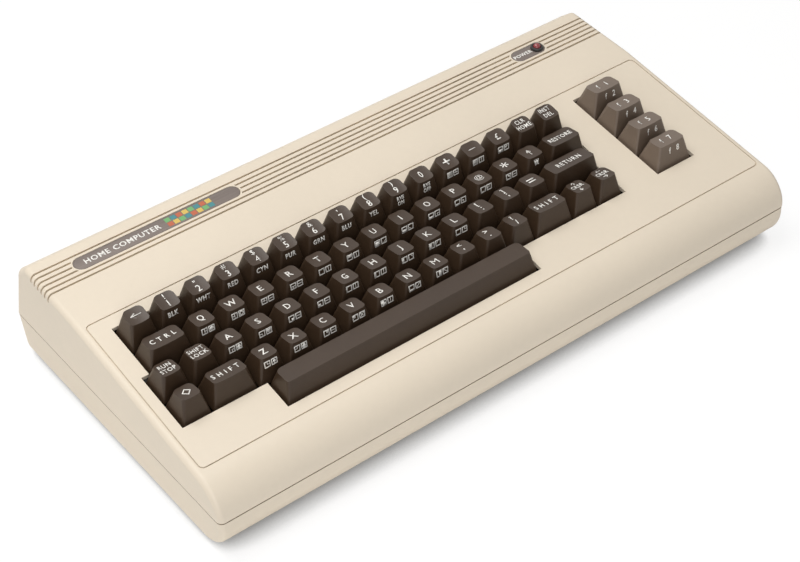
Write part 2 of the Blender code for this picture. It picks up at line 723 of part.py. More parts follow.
# Channel switch. A small slider behind the can's wall, with its knob through the slot.
knob_x = channel_x - channel_travel / 2
channel_switch = add_part("channel_switch", boxes("channel_switch", [
    ((knob_x - channel_plate / 2, modulator_face - 3 * modulator_wall, modulator_mid - channel_plate / 2),
     (knob_x + channel_plate / 2, modulator_face - modulator_wall - fit_gap,
      modulator_mid + channel_plate / 2))]), black_plastic)
combine(channel_switch, add_cutter("channel_knob", boxes("channel_knob", [
    ((knob_x - knob_half, modulator_face - 2 * modulator_wall, modulator_mid - knob_half),
     (knob_x + knob_half, modulator_face + channel_length, modulator_mid + knob_half))])), "UNION")

# Power switch. A block at the right side whose rocker turns on an upright pin.
switch_height = 0.018
switch_depth = 0.016
rocker_length = 0.020
rocker_height = 0.011
rocker_thickness = 0.0045
rocker_waist = 0.0027
rocker_swing = math.radians(20.0)
pivot_radius = 0.0015
pivot_reach = 0.001
pocket_depth = 0.010
switch_middle = socket_seat + switch_height / 2
pivot_x = side_face - rocker_thickness
switch_body = add_part("power_switch_body", boxes("power_switch_body", [
    ((side_face - switch_depth, switch_y - switch_length / 2, socket_seat),
     (side_face, switch_y + switch_length / 2, socket_seat + switch_height))]), black_plastic)
combine(switch_body, add_cutter("rocker_pocket", boxes("rocker_pocket", [
    ((side_face - pocket_depth, switch_y - rocker_length / 2 - fit_gap,
      switch_middle - rocker_height / 2 - fit_gap),
     (side_face + cut_overrun, switch_y + rocker_length / 2 + fit_gap,
      switch_middle + rocker_height / 2 + fit_gap))])))
combine(switch_body, add_cutter("pivot_bore", rods(
    "pivot_bore", [(pivot_x, switch_y, switch_middle)], "Z", pivot_radius + fit_gap,
    -rocker_height / 2 - pivot_reach - 2 * fit_gap, rocker_height / 2 + pivot_reach + 2 * fit_gap, 12)))
half_swing = rocker_swing / 2
wing = (rocker_length / 2 - rocker_thickness * math.sin(half_swing)) / math.cos(half_swing)
rocker_outline = [(0, -wing), (rocker_thickness, -wing), (rocker_waist, 0),
                  (rocker_thickness, wing), (0, wing), (-rocker_waist, 0)]
rocker_mesh = outline_solid("power_switch_rocker", rocker_outline, rocker_height / 2)
rocker = add_part("power_switch_rocker", rocker_mesh, black_plastic)
rocker.location = (pivot_x, switch_y, switch_middle)
rocker.rotation_euler = (0, 0, half_swing)
combine(rocker, add_cutter("rocker_pin", rods(
    "rocker_pin", [(pivot_x, switch_y, switch_middle)], "Z", pivot_radius,
    -rocker_height / 2 - pivot_reach, rocker_height / 2 + pivot_reach, 12)), "UNION")


# Case screws. Three screws along the front go up through the lower case into bosses of the upper.
screw_spacing = 0.150
screw_front_inset = 0.0135
screw_boss_radius = 0.0040
screw_radius = 0.0015
screw_head_radius = 0.003
screw_head_height = 0.002
screw_head_recess = 0.004
screw_grip = 0.010
screw_y = front_y + screw_front_inset
screw_places = [(x, screw_y, 0.0) for x in (-screw_spacing, 0.0, screw_spacing)]
head_seat = feet_height + case_wall + screw_head_recess
screw_tip = seam_height + screw_grip
for name, place in zip(("case_screw_left", "case_screw_middle", "case_screw_right"), screw_places):
    profile = [(0, screw_tip), (screw_radius, screw_tip - screw_radius),
               (screw_radius, head_seat - fit_gap), (screw_head_radius, head_seat - fit_gap),
               (screw_head_radius, head_seat - fit_gap - screw_head_height),
               (0, head_seat - fit_gap - screw_head_height)]
    turned_part(name, profile, tinned_metal, place, steps=12)

# Upper case. A shell with two key openings, an engraved line round the keyboard, six grooves across
# the band behind it, two badge recesses and the lamp hole.
upper_bottom = seam_height + seam_gap / 2
lower_top = seam_height - seam_gap / 2
frame_line_side = 0.0045
frame_line_rear = 0.0095
frame_line_front = 0.00875
frame_line_width = 0.0007
frame_line_depth = 0.0006
frame_line_radius = 0.003
groove_count = 6
groove_from_ridge = 0.0079
groove_pitch = 0.00378
groove_width = 0.0013
groove_depth = 0.0009
badge_length = 0.1088
badge_width = 0.0100
badge_left = 0.0233
badge_rim = 0.0012
badge_recess = 0.0010
badge_thickness = 0.0006
power_badge_length = 0.0244
power_badge_right = 0.0406
lamp_radius = 0.0025
lamp_dome_height = 0.0034
holder_radius = 0.0042
holder_barrel_radius = 0.0036
holder_rise = 0.0016
holder_depth = 0.006

upper_case = add_part("top_case", pushed_profile("top_case", upper_profile(0.0, upper_bottom), case_width,
                                                 side_edge_radius, upper_bottom), case_plastic,
                      smooth=True)
upper_inside = add_cutter("upper_inside", pushed_profile(
    "upper_inside", upper_profile(case_wall, upper_bottom - cut_overrun), case_width - 2 * case_wall))
combine(upper_inside, add_cutter("upper_bosses", rods(
    "upper_bosses", screw_places, "Z", screw_boss_radius, upper_bottom - 2 * cut_overrun, case_height)))
combine(upper_case, upper_inside)
combine(upper_case, add_cutter("upper_pilots", rods(
    "upper_pilots", screw_places, "Z", screw_radius + fit_gap, upper_bottom - cut_overrun,
    screw_tip + fit_gap, 12)))

row_edge = opening_margin
main_opening = [
    (-row_edge, row_edge),
    (-row_edge, -2 * key_unit + 2 * row_edge),
    (-step_share * key_unit - row_edge, -2 * key_unit + 2 * row_edge),
    (-step_share * key_unit - row_edge, -4 * key_unit - row_edge),
    (space_start_share * key_unit - row_edge, -4 * key_unit - row_edge),
    (space_start_share * key_unit - row_edge, -5 * key_unit - row_edge),
    ((space_start_share + space_width_share) * key_unit + row_edge, -5 * key_unit - row_edge),
    ((space_start_share + space_width_share) * key_unit + row_edge, -4 * key_unit - row_edge),
    ((row_end_share - step_share) * key_unit + row_edge, -4 * key_unit - row_edge),
    ((row_end_share - step_share) * key_unit + row_edge, -2 * key_unit - row_edge),
    (row_end_share * key_unit + row_edge, -2 * key_unit - row_edge),
    (row_end_share * key_unit + row_edge, row_edge)]
function_opening = [
    (function_start_share * key_unit - row_edge, row_edge),
    (function_start_share * key_unit - row_edge, -4 * key_unit - row_edge),
    ((function_start_share + function_width_share) * key_unit + row_edge, -4 * key_unit - row_edge),
    ((function_start_share + function_width_share) * key_unit + row_edge, row_edge)]
for name, outline in (("main_opening", main_opening), ("function_opening", function_opening)):
    mesh = outline_solid(name, outline, case_wall + fit_gap)
    combine(upper_case, add_cutter(name, mesh, keyboard_axes))

line_left = -left_margin - step_share * key_unit + frame_line_side
line_right = case_width + line_left - 2 * frame_line_side
line_front = -key_rows * key_unit - frame_line_front
half_line = frame_line_width / 2
frame_line = add_cutter("frame_line", outline_solid("frame_line", rounded_rectangle(
    line_left - half_line, line_right + half_line, line_front - half_line, frame_line_rear + half_line,
    frame_line_radius + half_line), frame_line_depth), keyboard_axes)
combine(frame_line, add_cutter("frame_line_core", outline_solid("frame_line_core", rounded_rectangle(
    line_left + half_line, line_right - half_line, line_front + half_line, frame_line_rear - half_line,
    frame_line_radius - half_line), 2 * frame_line_depth), keyboard_axes))
combine(upper_case, frame_line)

groove_ys = [band_length - groove_from_ridge - index * groove_pitch for index in range(groove_count)]
badge_y = groove_ys[2]
badge_x = -case_width / 2 + badge_left + badge_length / 2
power_badge_x = case_width / 2 - power_badge_right - power_badge_length / 2
lamp_x = power_badge_x + power_badge_length / 2 - badge_width / 2
grooves = add_cutter("band_grooves", boxes("band_grooves", [
    ((-case_width / 2 - cut_overrun, y - groove_width / 2, -groove_depth),
     (case_width / 2 + cut_overrun, y + groove_width / 2, cut_overrun)) for y in groove_ys]), band_axes)
badge_places = (("name_badge", badge_x, badge_length), ("power_badge", power_badge_x, power_badge_length))
for name, centre_x, length in badge_places:
    rim = outline_solid(name + "_rim", pill(centre_x, badge_y, length + 2 * badge_rim,
                                            badge_width + 2 * badge_rim), 2 * cut_overrun)
    combine(grooves, add_cutter(name + "_rim", rim, band_axes))
combine(upper_case, grooves)
lamp_place = [(lamp_x, badge_y, 0.0)]
lamp_hole = rods("lamp_hole", lamp_place, "Z", holder_barrel_radius + fit_gap, -case_wall - fit_gap,
                 cut_overrun, 20)
for name, centre_x, length in badge_places:
    recess = outline_solid(name + "_recess", pill(centre_x, badge_y, length + 2 * fit_gap,
                                                  badge_width + 2 * fit_gap), badge_recess)
    combine(upper_case, add_cutter(name + "_recess", recess, band_axes))
    plate_middle = -badge_recess + fit_gap + badge_thickness / 2
    plate = outline_solid(name, pill(centre_x, badge_y, length, badge_width), badge_thickness / 2,
                          plate_middle)
    badge = add_part(name, plate, badge_metal, band_axes)
    if name == "power_badge":
        combine(badge, add_cutter("badge_lamp_hole", lamp_hole.copy(), band_axes))
combine(upper_case, add_cutter("lamp_hole", lamp_hole, band_axes))


# Lamp. A round red lens in a black holder that snaps into the power badge.
badge_face = -badge_recess + fit_gap + badge_thickness
holder_seat = badge_face + fit_gap
bore = lamp_radius + fit_gap
holder_profile = [(bore, holder_rise), (holder_radius - holder_rise / 4, holder_rise),
                  (holder_radius, holder_rise / 2), (holder_radius, holder_seat),
                  (holder_barrel_radius, holder_seat), (holder_barrel_radius, -holder_depth),
                  (bore, -holder_depth), (bore, holder_rise)]
turned_part("lamp_holder", holder_profile, black_plastic, lamp_place[0], band_axes)
dome_base = lamp_dome_height - lamp_radius
dome = [(lamp_radius * math.sin(turn * math.pi / 10), dome_base + lamp_radius * math.cos(turn * math.pi / 10))
        for turn in range(6)]
turned_part("power_lamp", dome + [(lamp_radius, -holder_depth), (0, -holder_depth)], red_lens,
            lamp_place[0], band_axes)

# Lower case. A shallow tray with posts for the main board, screw bosses, vents and four foot recesses.
foot_radius = 0.007
foot_recess = 0.001
foot_side_inset = 0.022
foot_front_inset = 0.030
foot_rear_inset = 0.022
vent_count = 14
vent_pitch = 0.008
vent_width = 0.0025
vent_length = 0.036
vent_row_pitch = 0.070

lower_case = add_part("bottom_case", pushed_profile(
    "bottom_case", lower_profile(0.0, lower_top), case_width - 2 * lower_inset, side_edge_radius,
    lower_top), case_plastic, smooth=True)
lower_inside = add_cutter("lower_inside", pushed_profile(
    "lower_inside", lower_profile(case_wall, lower_top + cut_overrun),
    case_width - 2 * lower_inset - 2 * case_wall))
post_xs = (board_left + post_side_inset, 0.0, board_right - post_side_inset)
post_ys = (board_front + post_end_inset, board_rear - post_end_inset)
post_places = [(x, y, 0.0) for x in post_xs for y in post_ys]
combine(lower_inside, add_cutter("board_posts", rods(
    "board_posts", post_places, "Z", post_radius, 0.0, board_bottom - fit_gap)))
combine(lower_inside, add_cutter("lower_bosses", rods(
    "lower_bosses", screw_places, "Z", screw_boss_radius, 0.0, lower_top + 2 * cut_overrun)))
combine(lower_case, lower_inside)
boss_trim = boxes("boss_trim", [((-case_width, front_y - cut_overrun, lower_top),
                                 (case_width, rear_y + cut_overrun, lower_top + 2 * cut_overrun))])
combine(lower_case, add_cutter("boss_trim", boss_trim))
combine(lower_case, add_cutter("screw_holes", rods(
    "screw_holes", screw_places, "Z", screw_radius + fit_gap, 0.0, seam_height + cut_overrun, 12)))
combine(lower_case, add_cutter("head_recesses", rods(
    "head_recesses", screw_places, "Z", screw_head_radius + fit_gap, 0.0, head_seat)))

foot_xs = (-case_width / 2 + foot_side_inset, case_width / 2 - foot_side_inset)
foot_ys = (front_y + foot_front_inset, rear_y - foot_rear_inset)
foot_places = [(x, y, 0.0) for y in foot_ys for x in foot_xs]
combine(lower_case, add_cutter("foot_recesses", rods(
    "foot_recesses", foot_places, "Z", foot_radius + fit_gap, 0.0, feet_height + foot_recess, 20)))
vents = []
for y in (-vent_row_pitch / 2, vent_row_pitch / 2):
    for index in range(vent_count):
        x = (index - (vent_count - 1) / 2) * vent_pitch
        vents.append(((x - vent_width / 2, y - vent_length / 2, 0.0),
                      (x + vent_width / 2, y + vent_length / 2, feet_height + case_wall + fit_gap)))
combine(lower_case, add_cutter("vents", boxes("vents", vents)))

foot_names = ("foot_front_left", "foot_front_right", "foot_rear_left", "foot_rear_right")
for name, place in zip(foot_names, foot_places):
    add_part(name, rods(name, [place], "Z", foot_radius, 0.0, feet_height + foot_recess - fit_gap, 20),
             rubber)

# Openings for the sockets, cut through both shells along the seam.
edge_bay_drop = 0.005
bay_low = board_top + fit_gap / 2
edge_bay_low = board_bottom - edge_bay_drop
bay_high = socket_seat + din_side + port_clearance
din_bay = din_side + 2 * port_clearance


def rear_bay(centre_x, width, high, low=bay_low):
    return ((centre_x - width / 2, rear_face - fit_gap, low),
            (centre_x + width / 2, rear_y + cut_overrun, high))


def side_bay(centre_y, length, high):
    return ((side_face - 2 * fit_gap, centre_y - length / 2, bay_low),
            (case_width / 2 + cut_overrun, centre_y + length / 2, high))


control_high = socket_seat + control_height + port_clearance
bays = [
    rear_bay(cartridge_x, cartridge_width + 2 * edge_bay_clearance, bay_high),
    rear_bay(modulator_x, modulator_width, socket_seat + modulator_height),
    rear_bay(video_x, din_bay, bay_high), rear_bay(serial_x, din_bay, bay_high),
    rear_bay(cassette_edge_x, cassette_edge_width + 2 * edge_bay_clearance, seam_height, edge_bay_low),
    rear_bay(user_edge_x, user_edge_width + 2 * edge_bay_clearance, seam_height, edge_bay_low),
    side_bay(control_front_y, control_length + 2 * port_clearance, control_high),
    side_bay(control_rear_y, control_length + 2 * port_clearance, control_high),
    side_bay(switch_y, switch_length, socket_seat + switch_height),
    side_bay(power_y, din_bay, bay_high)]
for shell in (upper_case, lower_case):
    combine(shell, add_cutter(shell.name + "_bays", boxes(shell.name + "_bays", bays)))
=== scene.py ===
"""The looks of a vintage home computer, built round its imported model."""

import math

import bmesh
import bpy
from mathutils import Matrix, Vector


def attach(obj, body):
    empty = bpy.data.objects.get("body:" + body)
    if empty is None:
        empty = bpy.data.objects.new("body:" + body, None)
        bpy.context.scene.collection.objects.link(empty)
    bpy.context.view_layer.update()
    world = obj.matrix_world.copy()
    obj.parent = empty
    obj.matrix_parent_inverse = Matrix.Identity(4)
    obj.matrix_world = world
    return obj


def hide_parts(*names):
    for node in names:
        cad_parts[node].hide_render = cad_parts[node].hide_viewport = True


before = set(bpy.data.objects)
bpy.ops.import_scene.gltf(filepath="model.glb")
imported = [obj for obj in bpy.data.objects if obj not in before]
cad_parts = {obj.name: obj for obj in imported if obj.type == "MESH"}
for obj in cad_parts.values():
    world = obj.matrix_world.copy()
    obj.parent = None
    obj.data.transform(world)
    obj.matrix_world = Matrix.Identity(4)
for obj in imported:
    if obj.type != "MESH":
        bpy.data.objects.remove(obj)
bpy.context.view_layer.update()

# Camera and studio.
# A long lens looks down from the front left, as in the photograph. The white table is lit by a wide
# soft box overhead and a weaker one at the front left; the glow the camera sees on it is darkened
# close under the case as a painted contact shadow.
camera_place = (-0.47731, -0.66958, 0.69684)
camera_turn = (50.036, 2.625, -37.287)
bpy.ops.object.camera_add(location=camera_place, rotation=[math.radians(turn) for turn in camera_turn])
camera = bpy.context.object
camera.name = "camera"
camera.data.lens = 81.09
camera.data.sensor_width = 36.0
camera.data.clip_start = 0.05
bpy.context.scene.camera = camera
bpy.context.scene.view_settings.view_transform = "Standard"


def soft_light(name, place, target, size, power, colour=(1.0, 1.0, 1.0)):
    bpy.ops.object.light_add(type="AREA", location=place)
    lamp = bpy.context.object
    lamp.name = name
    lamp.rotation_euler = (Vector(target) - Vector(place)).to_track_quat("-Z", "Y").to_euler()
    lamp.data.shape = "RECTANGLE"
    lamp.data.size, lamp.data.size_y = size
    lamp.data.energy = power
    lamp.data.color = colour
    return lamp


soft_light("overhead_soft_box", (-0.34, 0.26, 1.5), (-0.05, 0.0, 0.03), (1.2, 1.0), 18.8, (1.0, 0.99, 0.97))
soft_light("front_left_box", (-0.78, -1.12, 0.72), (-0.1, -0.05, 0.04), (0.9, 0.8), 6.0)

world = bpy.data.worlds.new("studio")
bpy.context.scene.world = world
world.use_nodes = True
nodes, links = world.node_tree.nodes, world.node_tree.links
background = nodes["Background"]
background.inputs["Color"].default_value = (1, 1, 1, 1)
ray = nodes.new("ShaderNodeLightPath")
seen = nodes.new("ShaderNodeMath")
seen.operation = "MAXIMUM"
seen_through = nodes.new("ShaderNodeMath")
seen_through.operation = "MAXIMUM"
links.new(ray.outputs["Is Camera Ray"], seen.inputs[0])
links.new(ray.outputs["Is Glossy Ray"], seen.inputs[1])
links.new(seen.outputs[0], seen_through.inputs[0])
links.new(ray.outputs["Is Transmission Ray"], seen_through.inputs[1])
level = nodes.new("ShaderNodeMapRange")
level.inputs["To Min"].default_value = 0.22
level.inputs["To Max"].default_value = 1.0
links.new(seen_through.outputs[0], level.inputs["Value"])
links.new(level.outputs["Result"], background.inputs["Strength"])

bpy.ops.mesh.primitive_plane_add(size=12.0, location=(0, 0, -0.0001))
table = bpy.context.object
table.name = "white_table"
paper = bpy.data.materials.new("white_paper")
paper.use_nodes = True
nodes, links = paper.node_tree.nodes, paper.node_tree.links
shader = nodes["Principled BSDF"]
shader.inputs["Roughness"].default_value = 0.9
shader.inputs["Specular IOR Level"].default_value = 0.1
glow = nodes.new("ShaderNodeEmission")
glow.inputs["Color"].default_value = (1, 1, 1, 1)
# Painted shadow: an occlusion test darkens the table's glow where the case hangs close over it.
painted_shadow_occlusion = nodes.new("ShaderNodeAmbientOcclusion")
painted_shadow_occlusion.samples = 16
painted_shadow_occlusion.inputs["Distance"].default_value = 0.03
shadow = nodes.new("ShaderNodeMapRange")
shadow.inputs["From Min"].default_value = 0.08
shadow.inputs["From Max"].default_value = 0.56
shadow.inputs["To Min"].default_value = 0.0
shadow.inputs["To Max"].default_value = 1.06
links.new(painted_shadow_occlusion.outputs["AO"], shadow.inputs["Value"])
links.new(shadow.outputs["Result"], glow.inputs["Strength"])
ray = nodes.new("ShaderNodeLightPath")
share = nodes.new("ShaderNodeMapRange")
share.inputs["To Min"].default_value = 0.0
share.inputs["To Max"].default_value = 0.78
blend = nodes.new("ShaderNodeMixShader")
links.new(ray.outputs["Is Camera Ray"], share.inputs["Value"])
links.new(share.outputs["Result"], blend.inputs["Fac"])
tone = nodes.new("ShaderNodeMapRange")
tone.inputs["To Min"].default_value = 1.0
tone.inputs["To Max"].default_value = 0.95
links.new(ray.outputs["Is Camera Ray"], tone.inputs["Value"])
links.new(tone.outputs["Result"], shader.inputs["Base Color"])
links.new(shader.outputs["BSDF"], blend.inputs[1])
links.new(glow.outputs["Emission"], blend.inputs[2])
links.new(blend.outputs["Shader"], nodes["Material Output"].inputs["Surface"])
table.data.materials.append(paper)

# Upper case.
# The real shell is one moulding in cream plastic, 2.5 mm thick, with a fine matt grain. It rises from
# the round nose over the sloping keyboard field and the flatter band to the rear wall. The key
# openings, the thin line round them, the six grooves and the badge recesses are moulded in.
case_half_width = 0.202001
case_front = -0.108162
case_wall = 0.0025
upper_seam = 0.02715
weld_reach = 0.00001
nose_corner = Vector((0, case_front, 0.045453))
nose_reach = 0.017453
bend = Vector((0, 0.030856, 0.069966))
ridge = Vector((0, 0.082105, 0.075045))
shoulder = Vector((0, 0.093107, 0.067051))
keyboard_tilt = math.radians(10.0)
band_tilt = math.radians(5.66)
rear_slope_tilt = math.radians(36.0)
rear_wall_lean = math.radians(20.6)
key_unit = 0.01905
keyboard_axes = Matrix.Translation((-0.185698, 0.014154, 0.067021)) @ Matrix.Rotation(keyboard_tilt, 4, "X")
band_axes = Matrix.Translation(bend) @ Matrix.Rotation(band_tilt, 4, "X")


def deselect():
    bpy.ops.object.select_all(action="DESELECT")


def block(name, low, high):
    """A cube stretched between two corners, with its place in its mesh."""
    deselect()
    middle = [(a + b) / 2 for a, b in zip(low, high)]
    bpy.ops.mesh.primitive_cube_add(size=1, location=middle, scale=[b - a for a, b in zip(low, high)])
    bpy.ops.object.transform_apply(location=True, rotation=True, scale=True)
    made = bpy.context.object
    made.name = name
    return made


def take(piece):
    deselect()
    piece.select_set(True)
    bpy.context.view_layer.objects.active = piece


def place_in(axes, *made):
    """Turn pieces that were modelled in the keyboard's or the band's own axes into their place."""
    for piece in made:
        take(piece)
        piece.matrix_world = axes
        bpy.ops.object.transform_apply(location=True, rotation=True, scale=True)


def choose(kind, test):
    """Select the faces, edges or points of the open mesh whose place passes a test."""
    bpy.ops.mesh.select_mode(type=kind)
    bpy.ops.mesh.select_all(action="DESELECT")
    shape = bmesh.from_edit_mesh(bpy.context.object.data)
    parts = {"VERT": shape.verts, "EDGE": shape.edges, "FACE": shape.faces}[kind]
    for part in parts:
        spots = [part.co] if kind == "VERT" else [spot.co for spot in part.verts]
        if test(part.normal, spots) if kind == "FACE" else test(spots):
            part.select = True
    shape.select_flush_mode()
    bmesh.update_edit_mesh(bpy.context.object.data)


def finish_with(piece, kind, **settings):
    """Add one modifier, give it its settings and apply it."""
    take(piece)
    added = piece.modifiers.new(kind.lower(), kind)
    for name, value in settings.items():
        setattr(added, name, value)
    bpy.ops.object.modifier_apply(modifier=added.name)


def cut(piece, *cutters, operation="DIFFERENCE"):
    for cutter in cutters:
        finish_with(piece, "BOOLEAN", object=cutter, operation=operation, solver="EXACT",
                    material_mode="TRANSFER" if cutter.data.materials else "INDEX")
        bpy.data.objects.remove(cutter, do_unlink=True)


def near(value, wanted, slack=0.00002):
    return abs(value - wanted) < slack


def pill(name, centre, length, width, low, high):
    """A bar with round ends, standing between two levels."""
    made = block(name, (centre[0] - length / 2, centre[1] - width / 2, low),
                 (centre[0] + length / 2, centre[1] + width / 2, high))
    bpy.ops.object.mode_set(mode="EDIT")
    choose("EDGE", lambda spots: near(spots[0].x, spots[1].x) and near(spots[0].y, spots[1].y))
    bpy.ops.mesh.bevel(offset=width / 2 - 0.00001, segments=12, affect="EDGES", clamp_overlap=False)
    bpy.ops.object.mode_set(mode="OBJECT")
    return made


def rounded_block(name, low, high, radius, segments=6):
    """A block whose four upright edges are rounded."""
    made = block(name, low, high)
    bpy.ops.object.mode_set(mode="EDIT")
    choose("EDGE", lambda spots: near(spots[0].x, spots[1].x) and near(spots[0].y, spots[1].y))
    bpy.ops.mesh.bevel(offset=radius, segments=segments, affect="EDGES", clamp_overlap=False)
    bpy.ops.object.mode_set(mode="OBJECT")
    return made


def moulded_plastic(name, colour, roughness, mottle=0.05, grain=0.0006, grain_depth=0.00004,
                    gloss_spread=0.06, seed=0.0, sheen=0.5):
    """Injection moulded plastic: a fine moulded grain, slow drifts of colour and uneven gloss."""
    finish = bpy.data.materials.new(name)
    finish.use_nodes = True
    nodes, links = finish.node_tree.nodes, finish.node_tree.links
    shader = nodes["Principled BSDF"]
    shader.inputs["Specular IOR Level"].default_value = sheen
    place = nodes.new("ShaderNodeTexCoord")
    spot = nodes.new("ShaderNodeMapping")
    spot.inputs["Location"].default_value = (seed, seed / 2, 0)
    links.new(place.outputs["Object"], spot.inputs["Vector"])

    def noise(scale, detail, roughness=0.5):
        made = nodes.new("ShaderNodeTexNoise")
        made.inputs["Scale"].default_value = scale
        made.inputs["Detail"].default_value = detail
        made.inputs["Roughness"].default_value = roughness
        links.new(spot.outputs["Vector"], made.inputs["Vector"])
        return made

    drift = noise(14.0, 3.0)
    fine = noise(260.0, 2.0)
    shade = nodes.new("ShaderNodeValToRGB")
    shade.color_ramp.elements[0].position = 0.3
    shade.color_ramp.elements[1].position = 0.7
    shade.color_ramp.elements[0].color = (*[part * (1 - mottle) for part in colour], 1)
    shade.color_ramp.elements[1].color = (*[min(1.0, part * (1 + mottle)) for part in colour], 1)
    both = nodes.new("ShaderNodeMath")
    both.operation = "MULTIPLY_ADD"
    both.inputs[1].default_value = 0.3
    links.new(fine.outputs["Fac"], both.inputs[0])
    weaker = nodes.new("ShaderNodeMath")
    weaker.operation = "MULTIPLY"
    weaker.inputs[1].default_value = 0.7
    links.new(drift.outputs["Fac"], weaker.inputs[0])
    links.new(weaker.outputs[0], both.inputs[2])
    links.new(both.outputs[0], shade.inputs["Fac"])
    links.new(shade.outputs["Color"], shader.inputs["Base Color"])
    gloss = nodes.new("ShaderNodeMapRange")
    gloss.inputs["To Min"].default_value = roughness - gloss_spread
    gloss.inputs["To Max"].default_value = roughness + gloss_spread
    links.new(drift.outputs["Fac"], gloss.inputs["Value"])
    links.new(gloss.outputs["Result"], shader.inputs["Roughness"])
    pebble = noise(1.0 / grain, 3.0, 0.6)
    bump = nodes.new("ShaderNodeBump")
    bump.inputs["Strength"].default_value = 0.35
    bump.inputs["Distance"].default_value = grain_depth
    links.new(pebble.outputs["Fac"], bump.inputs["Height"])
    links.new(bump.outputs["Normal"], shader.inputs["Normal"])
    return finish


case_finish = moulded_plastic("cream_case_plastic", (0.78, 0.685, 0.555), 0.5, mottle=0.025)
# Painted shade: the thin line round the key field and the six grooves get faces in a darker cream than the case,
# standing in for the shade in these recesses.
groove_shade_finish = moulded_plastic("groove_painted_shade_plastic", (0.64, 0.55, 0.43), 0.7, mottle=0.12, sheen=0.2)

upper = block("upper_case", (-case_half_width, case_front, upper_seam), (case_half_width, -case_front, 0.085))
bpy.ops.object.mode_set(mode="EDIT")
slope_normal = (0, -math.sin(keyboard_tilt), math.cos(keyboard_tilt))
band_normal = (0, -math.sin(band_tilt), math.cos(band_tilt))
rear_slope_normal = (0, math.sin(rear_slope_tilt), math.cos(rear_slope_tilt))
rear_wall_normal = (0, math.cos(rear_wall_lean), math.sin(rear_wall_lean))
for place, normal in ((bend, slope_normal), (bend, band_normal), (ridge, rear_slope_normal),
                      (shoulder, rear_wall_normal)):
    bpy.ops.mesh.select_all(action="SELECT")
    bpy.ops.mesh.bisect(plane_co=place, plane_no=normal, use_fill=True, clear_outer=True)
for corner, reach, steps in ((nose_corner, nose_reach, 28), (ridge, 0.00114, 4), (shoulder, 0.0032, 6)):
    choose("EDGE", lambda spots: all(near(spot.y, corner.y) and near(spot.z, corner.z) for spot in spots))
    bpy.ops.mesh.bevel(offset=reach, segments=steps, profile=0.5, affect="EDGES", clamp_overlap=False)
for end in (-case_half_width, case_half_width):
    choose("EDGE", lambda spots: all(near(spot.x, end) for spot in spots)
           and not all(near(spot.z, upper_seam) for spot in spots))
    bpy.ops.mesh.bevel(offset=0.0035, segments=6, profile=0.5, affect="EDGES", clamp_overlap=False)
choose("FACE", lambda normal, spots: all(near(spot.z, upper_seam) for spot in spots))
bpy.ops.mesh.delete(type="FACE")
bpy.ops.object.mode_set(mode="OBJECT")
finish_with(upper, "SOLIDIFY", thickness=case_wall, offset=-1, use_even_offset=True)
finish_with(upper, "WELD", merge_threshold=weld_reach)
upper.data.materials.append(case_finish)

# The openings follow the stepped outline of the key field, 0.6 mm round the caps.
margin = 0.0006
deep = case_wall + 0.0012
openings = [
    block("opening", (-margin, -2 * key_unit - margin, -deep), (16 * key_unit + margin, margin, 0.004)),
    block("opening", (-0.25 * key_unit - margin, -4 * key_unit - margin, -deep),
          (15.75 * key_unit + margin, -2 * key_unit + 0.0012, 0.004)),
    block("opening", (2.5 * key_unit - margin, -5 * key_unit - margin, -deep),
          (11.5 * key_unit + margin, -3 * key_unit, 0.004)),
    block("opening", (17.164 * key_unit - margin, -4 * key_unit - margin, -deep),
          (18.664 * key_unit + margin, margin, 0.004))]
place_in(keyboard_axes, *openings)
cut(upper, *openings)

line_outside = rounded_block("line", (-0.01215, -0.10435, -0.0006), (0.38355, 0.00985, 0.003), 0.00335)
line_inside = rounded_block("line", (-0.01145, -0.10365, -0.002), (0.38285, 0.00915, 0.004), 0.00265)
cut(line_outside, line_inside)
# The line's faces carry the painted shade colour.
line_outside.data.materials.append(groove_shade_finish)
place_in(keyboard_axes, line_outside)
cut(upper, line_outside)

groove_places = [0.0436 - 0.00378 * step for step in range(6)]
badge_y = groove_places[2]
name_badge_x, name_badge_length = -0.124301, 0.1088
power_badge_x, power_badge_length = 0.149201, 0.0244
badge_width = 0.010
lamp_place = (0.156401, badge_y)
groove_depth, groove_end_reach = 0.0012, 0.0048
for y in groove_places:
    groove = block("groove", (-0.21, y - 0.00065, -groove_end_reach), (0.21, y + 0.00065, 0.004))
    core = block("core", (0.0011 - case_half_width, y - 0.002, -0.02),
                 (case_half_width - 0.0011, y + 0.002, -groove_depth))
    bpy.ops.object.mode_set(mode="EDIT")
    choose("EDGE", lambda spots: all(near(spot.z, -groove_depth) for spot in spots)
           and near(spots[0].x, spots[1].x))
    bpy.ops.mesh.bevel(offset=0.0027, segments=6, affect="EDGES", clamp_overlap=False)
    bpy.ops.object.mode_set(mode="OBJECT")
    cut(groove, core)
    for centre_x, length in ((name_badge_x, name_badge_length), (power_badge_x, power_badge_length)):
        cut(groove, pill("rim", (centre_x, badge_y), length + 0.0024, badge_width + 0.0024, -0.002, 0.005))
    # The groove's faces carry the painted shade colour.
    groove.data.materials.append(groove_shade_finish)
    place_in(band_axes, groove)
    cut(upper, groove)
for centre_x, length in ((name_badge_x, name_badge_length), (power_badge_x, power_badge_length)):
    recess = pill("recess", (centre_x, badge_y), length + 0.0006, badge_width + 0.0006, -0.001, 0.004)
    place_in(band_axes, recess)
    cut(upper, recess)
deselect()
bpy.ops.mesh.primitive_cylinder_add(vertices=48, radius=0.0039, depth=0.012,
                                    location=(lamp_place[0], lamp_place[1], -0.001))
bpy.ops.object.transform_apply()
lamp_hole = bpy.context.object
place_in(band_axes, lamp_hole)
cut(upper, lamp_hole)

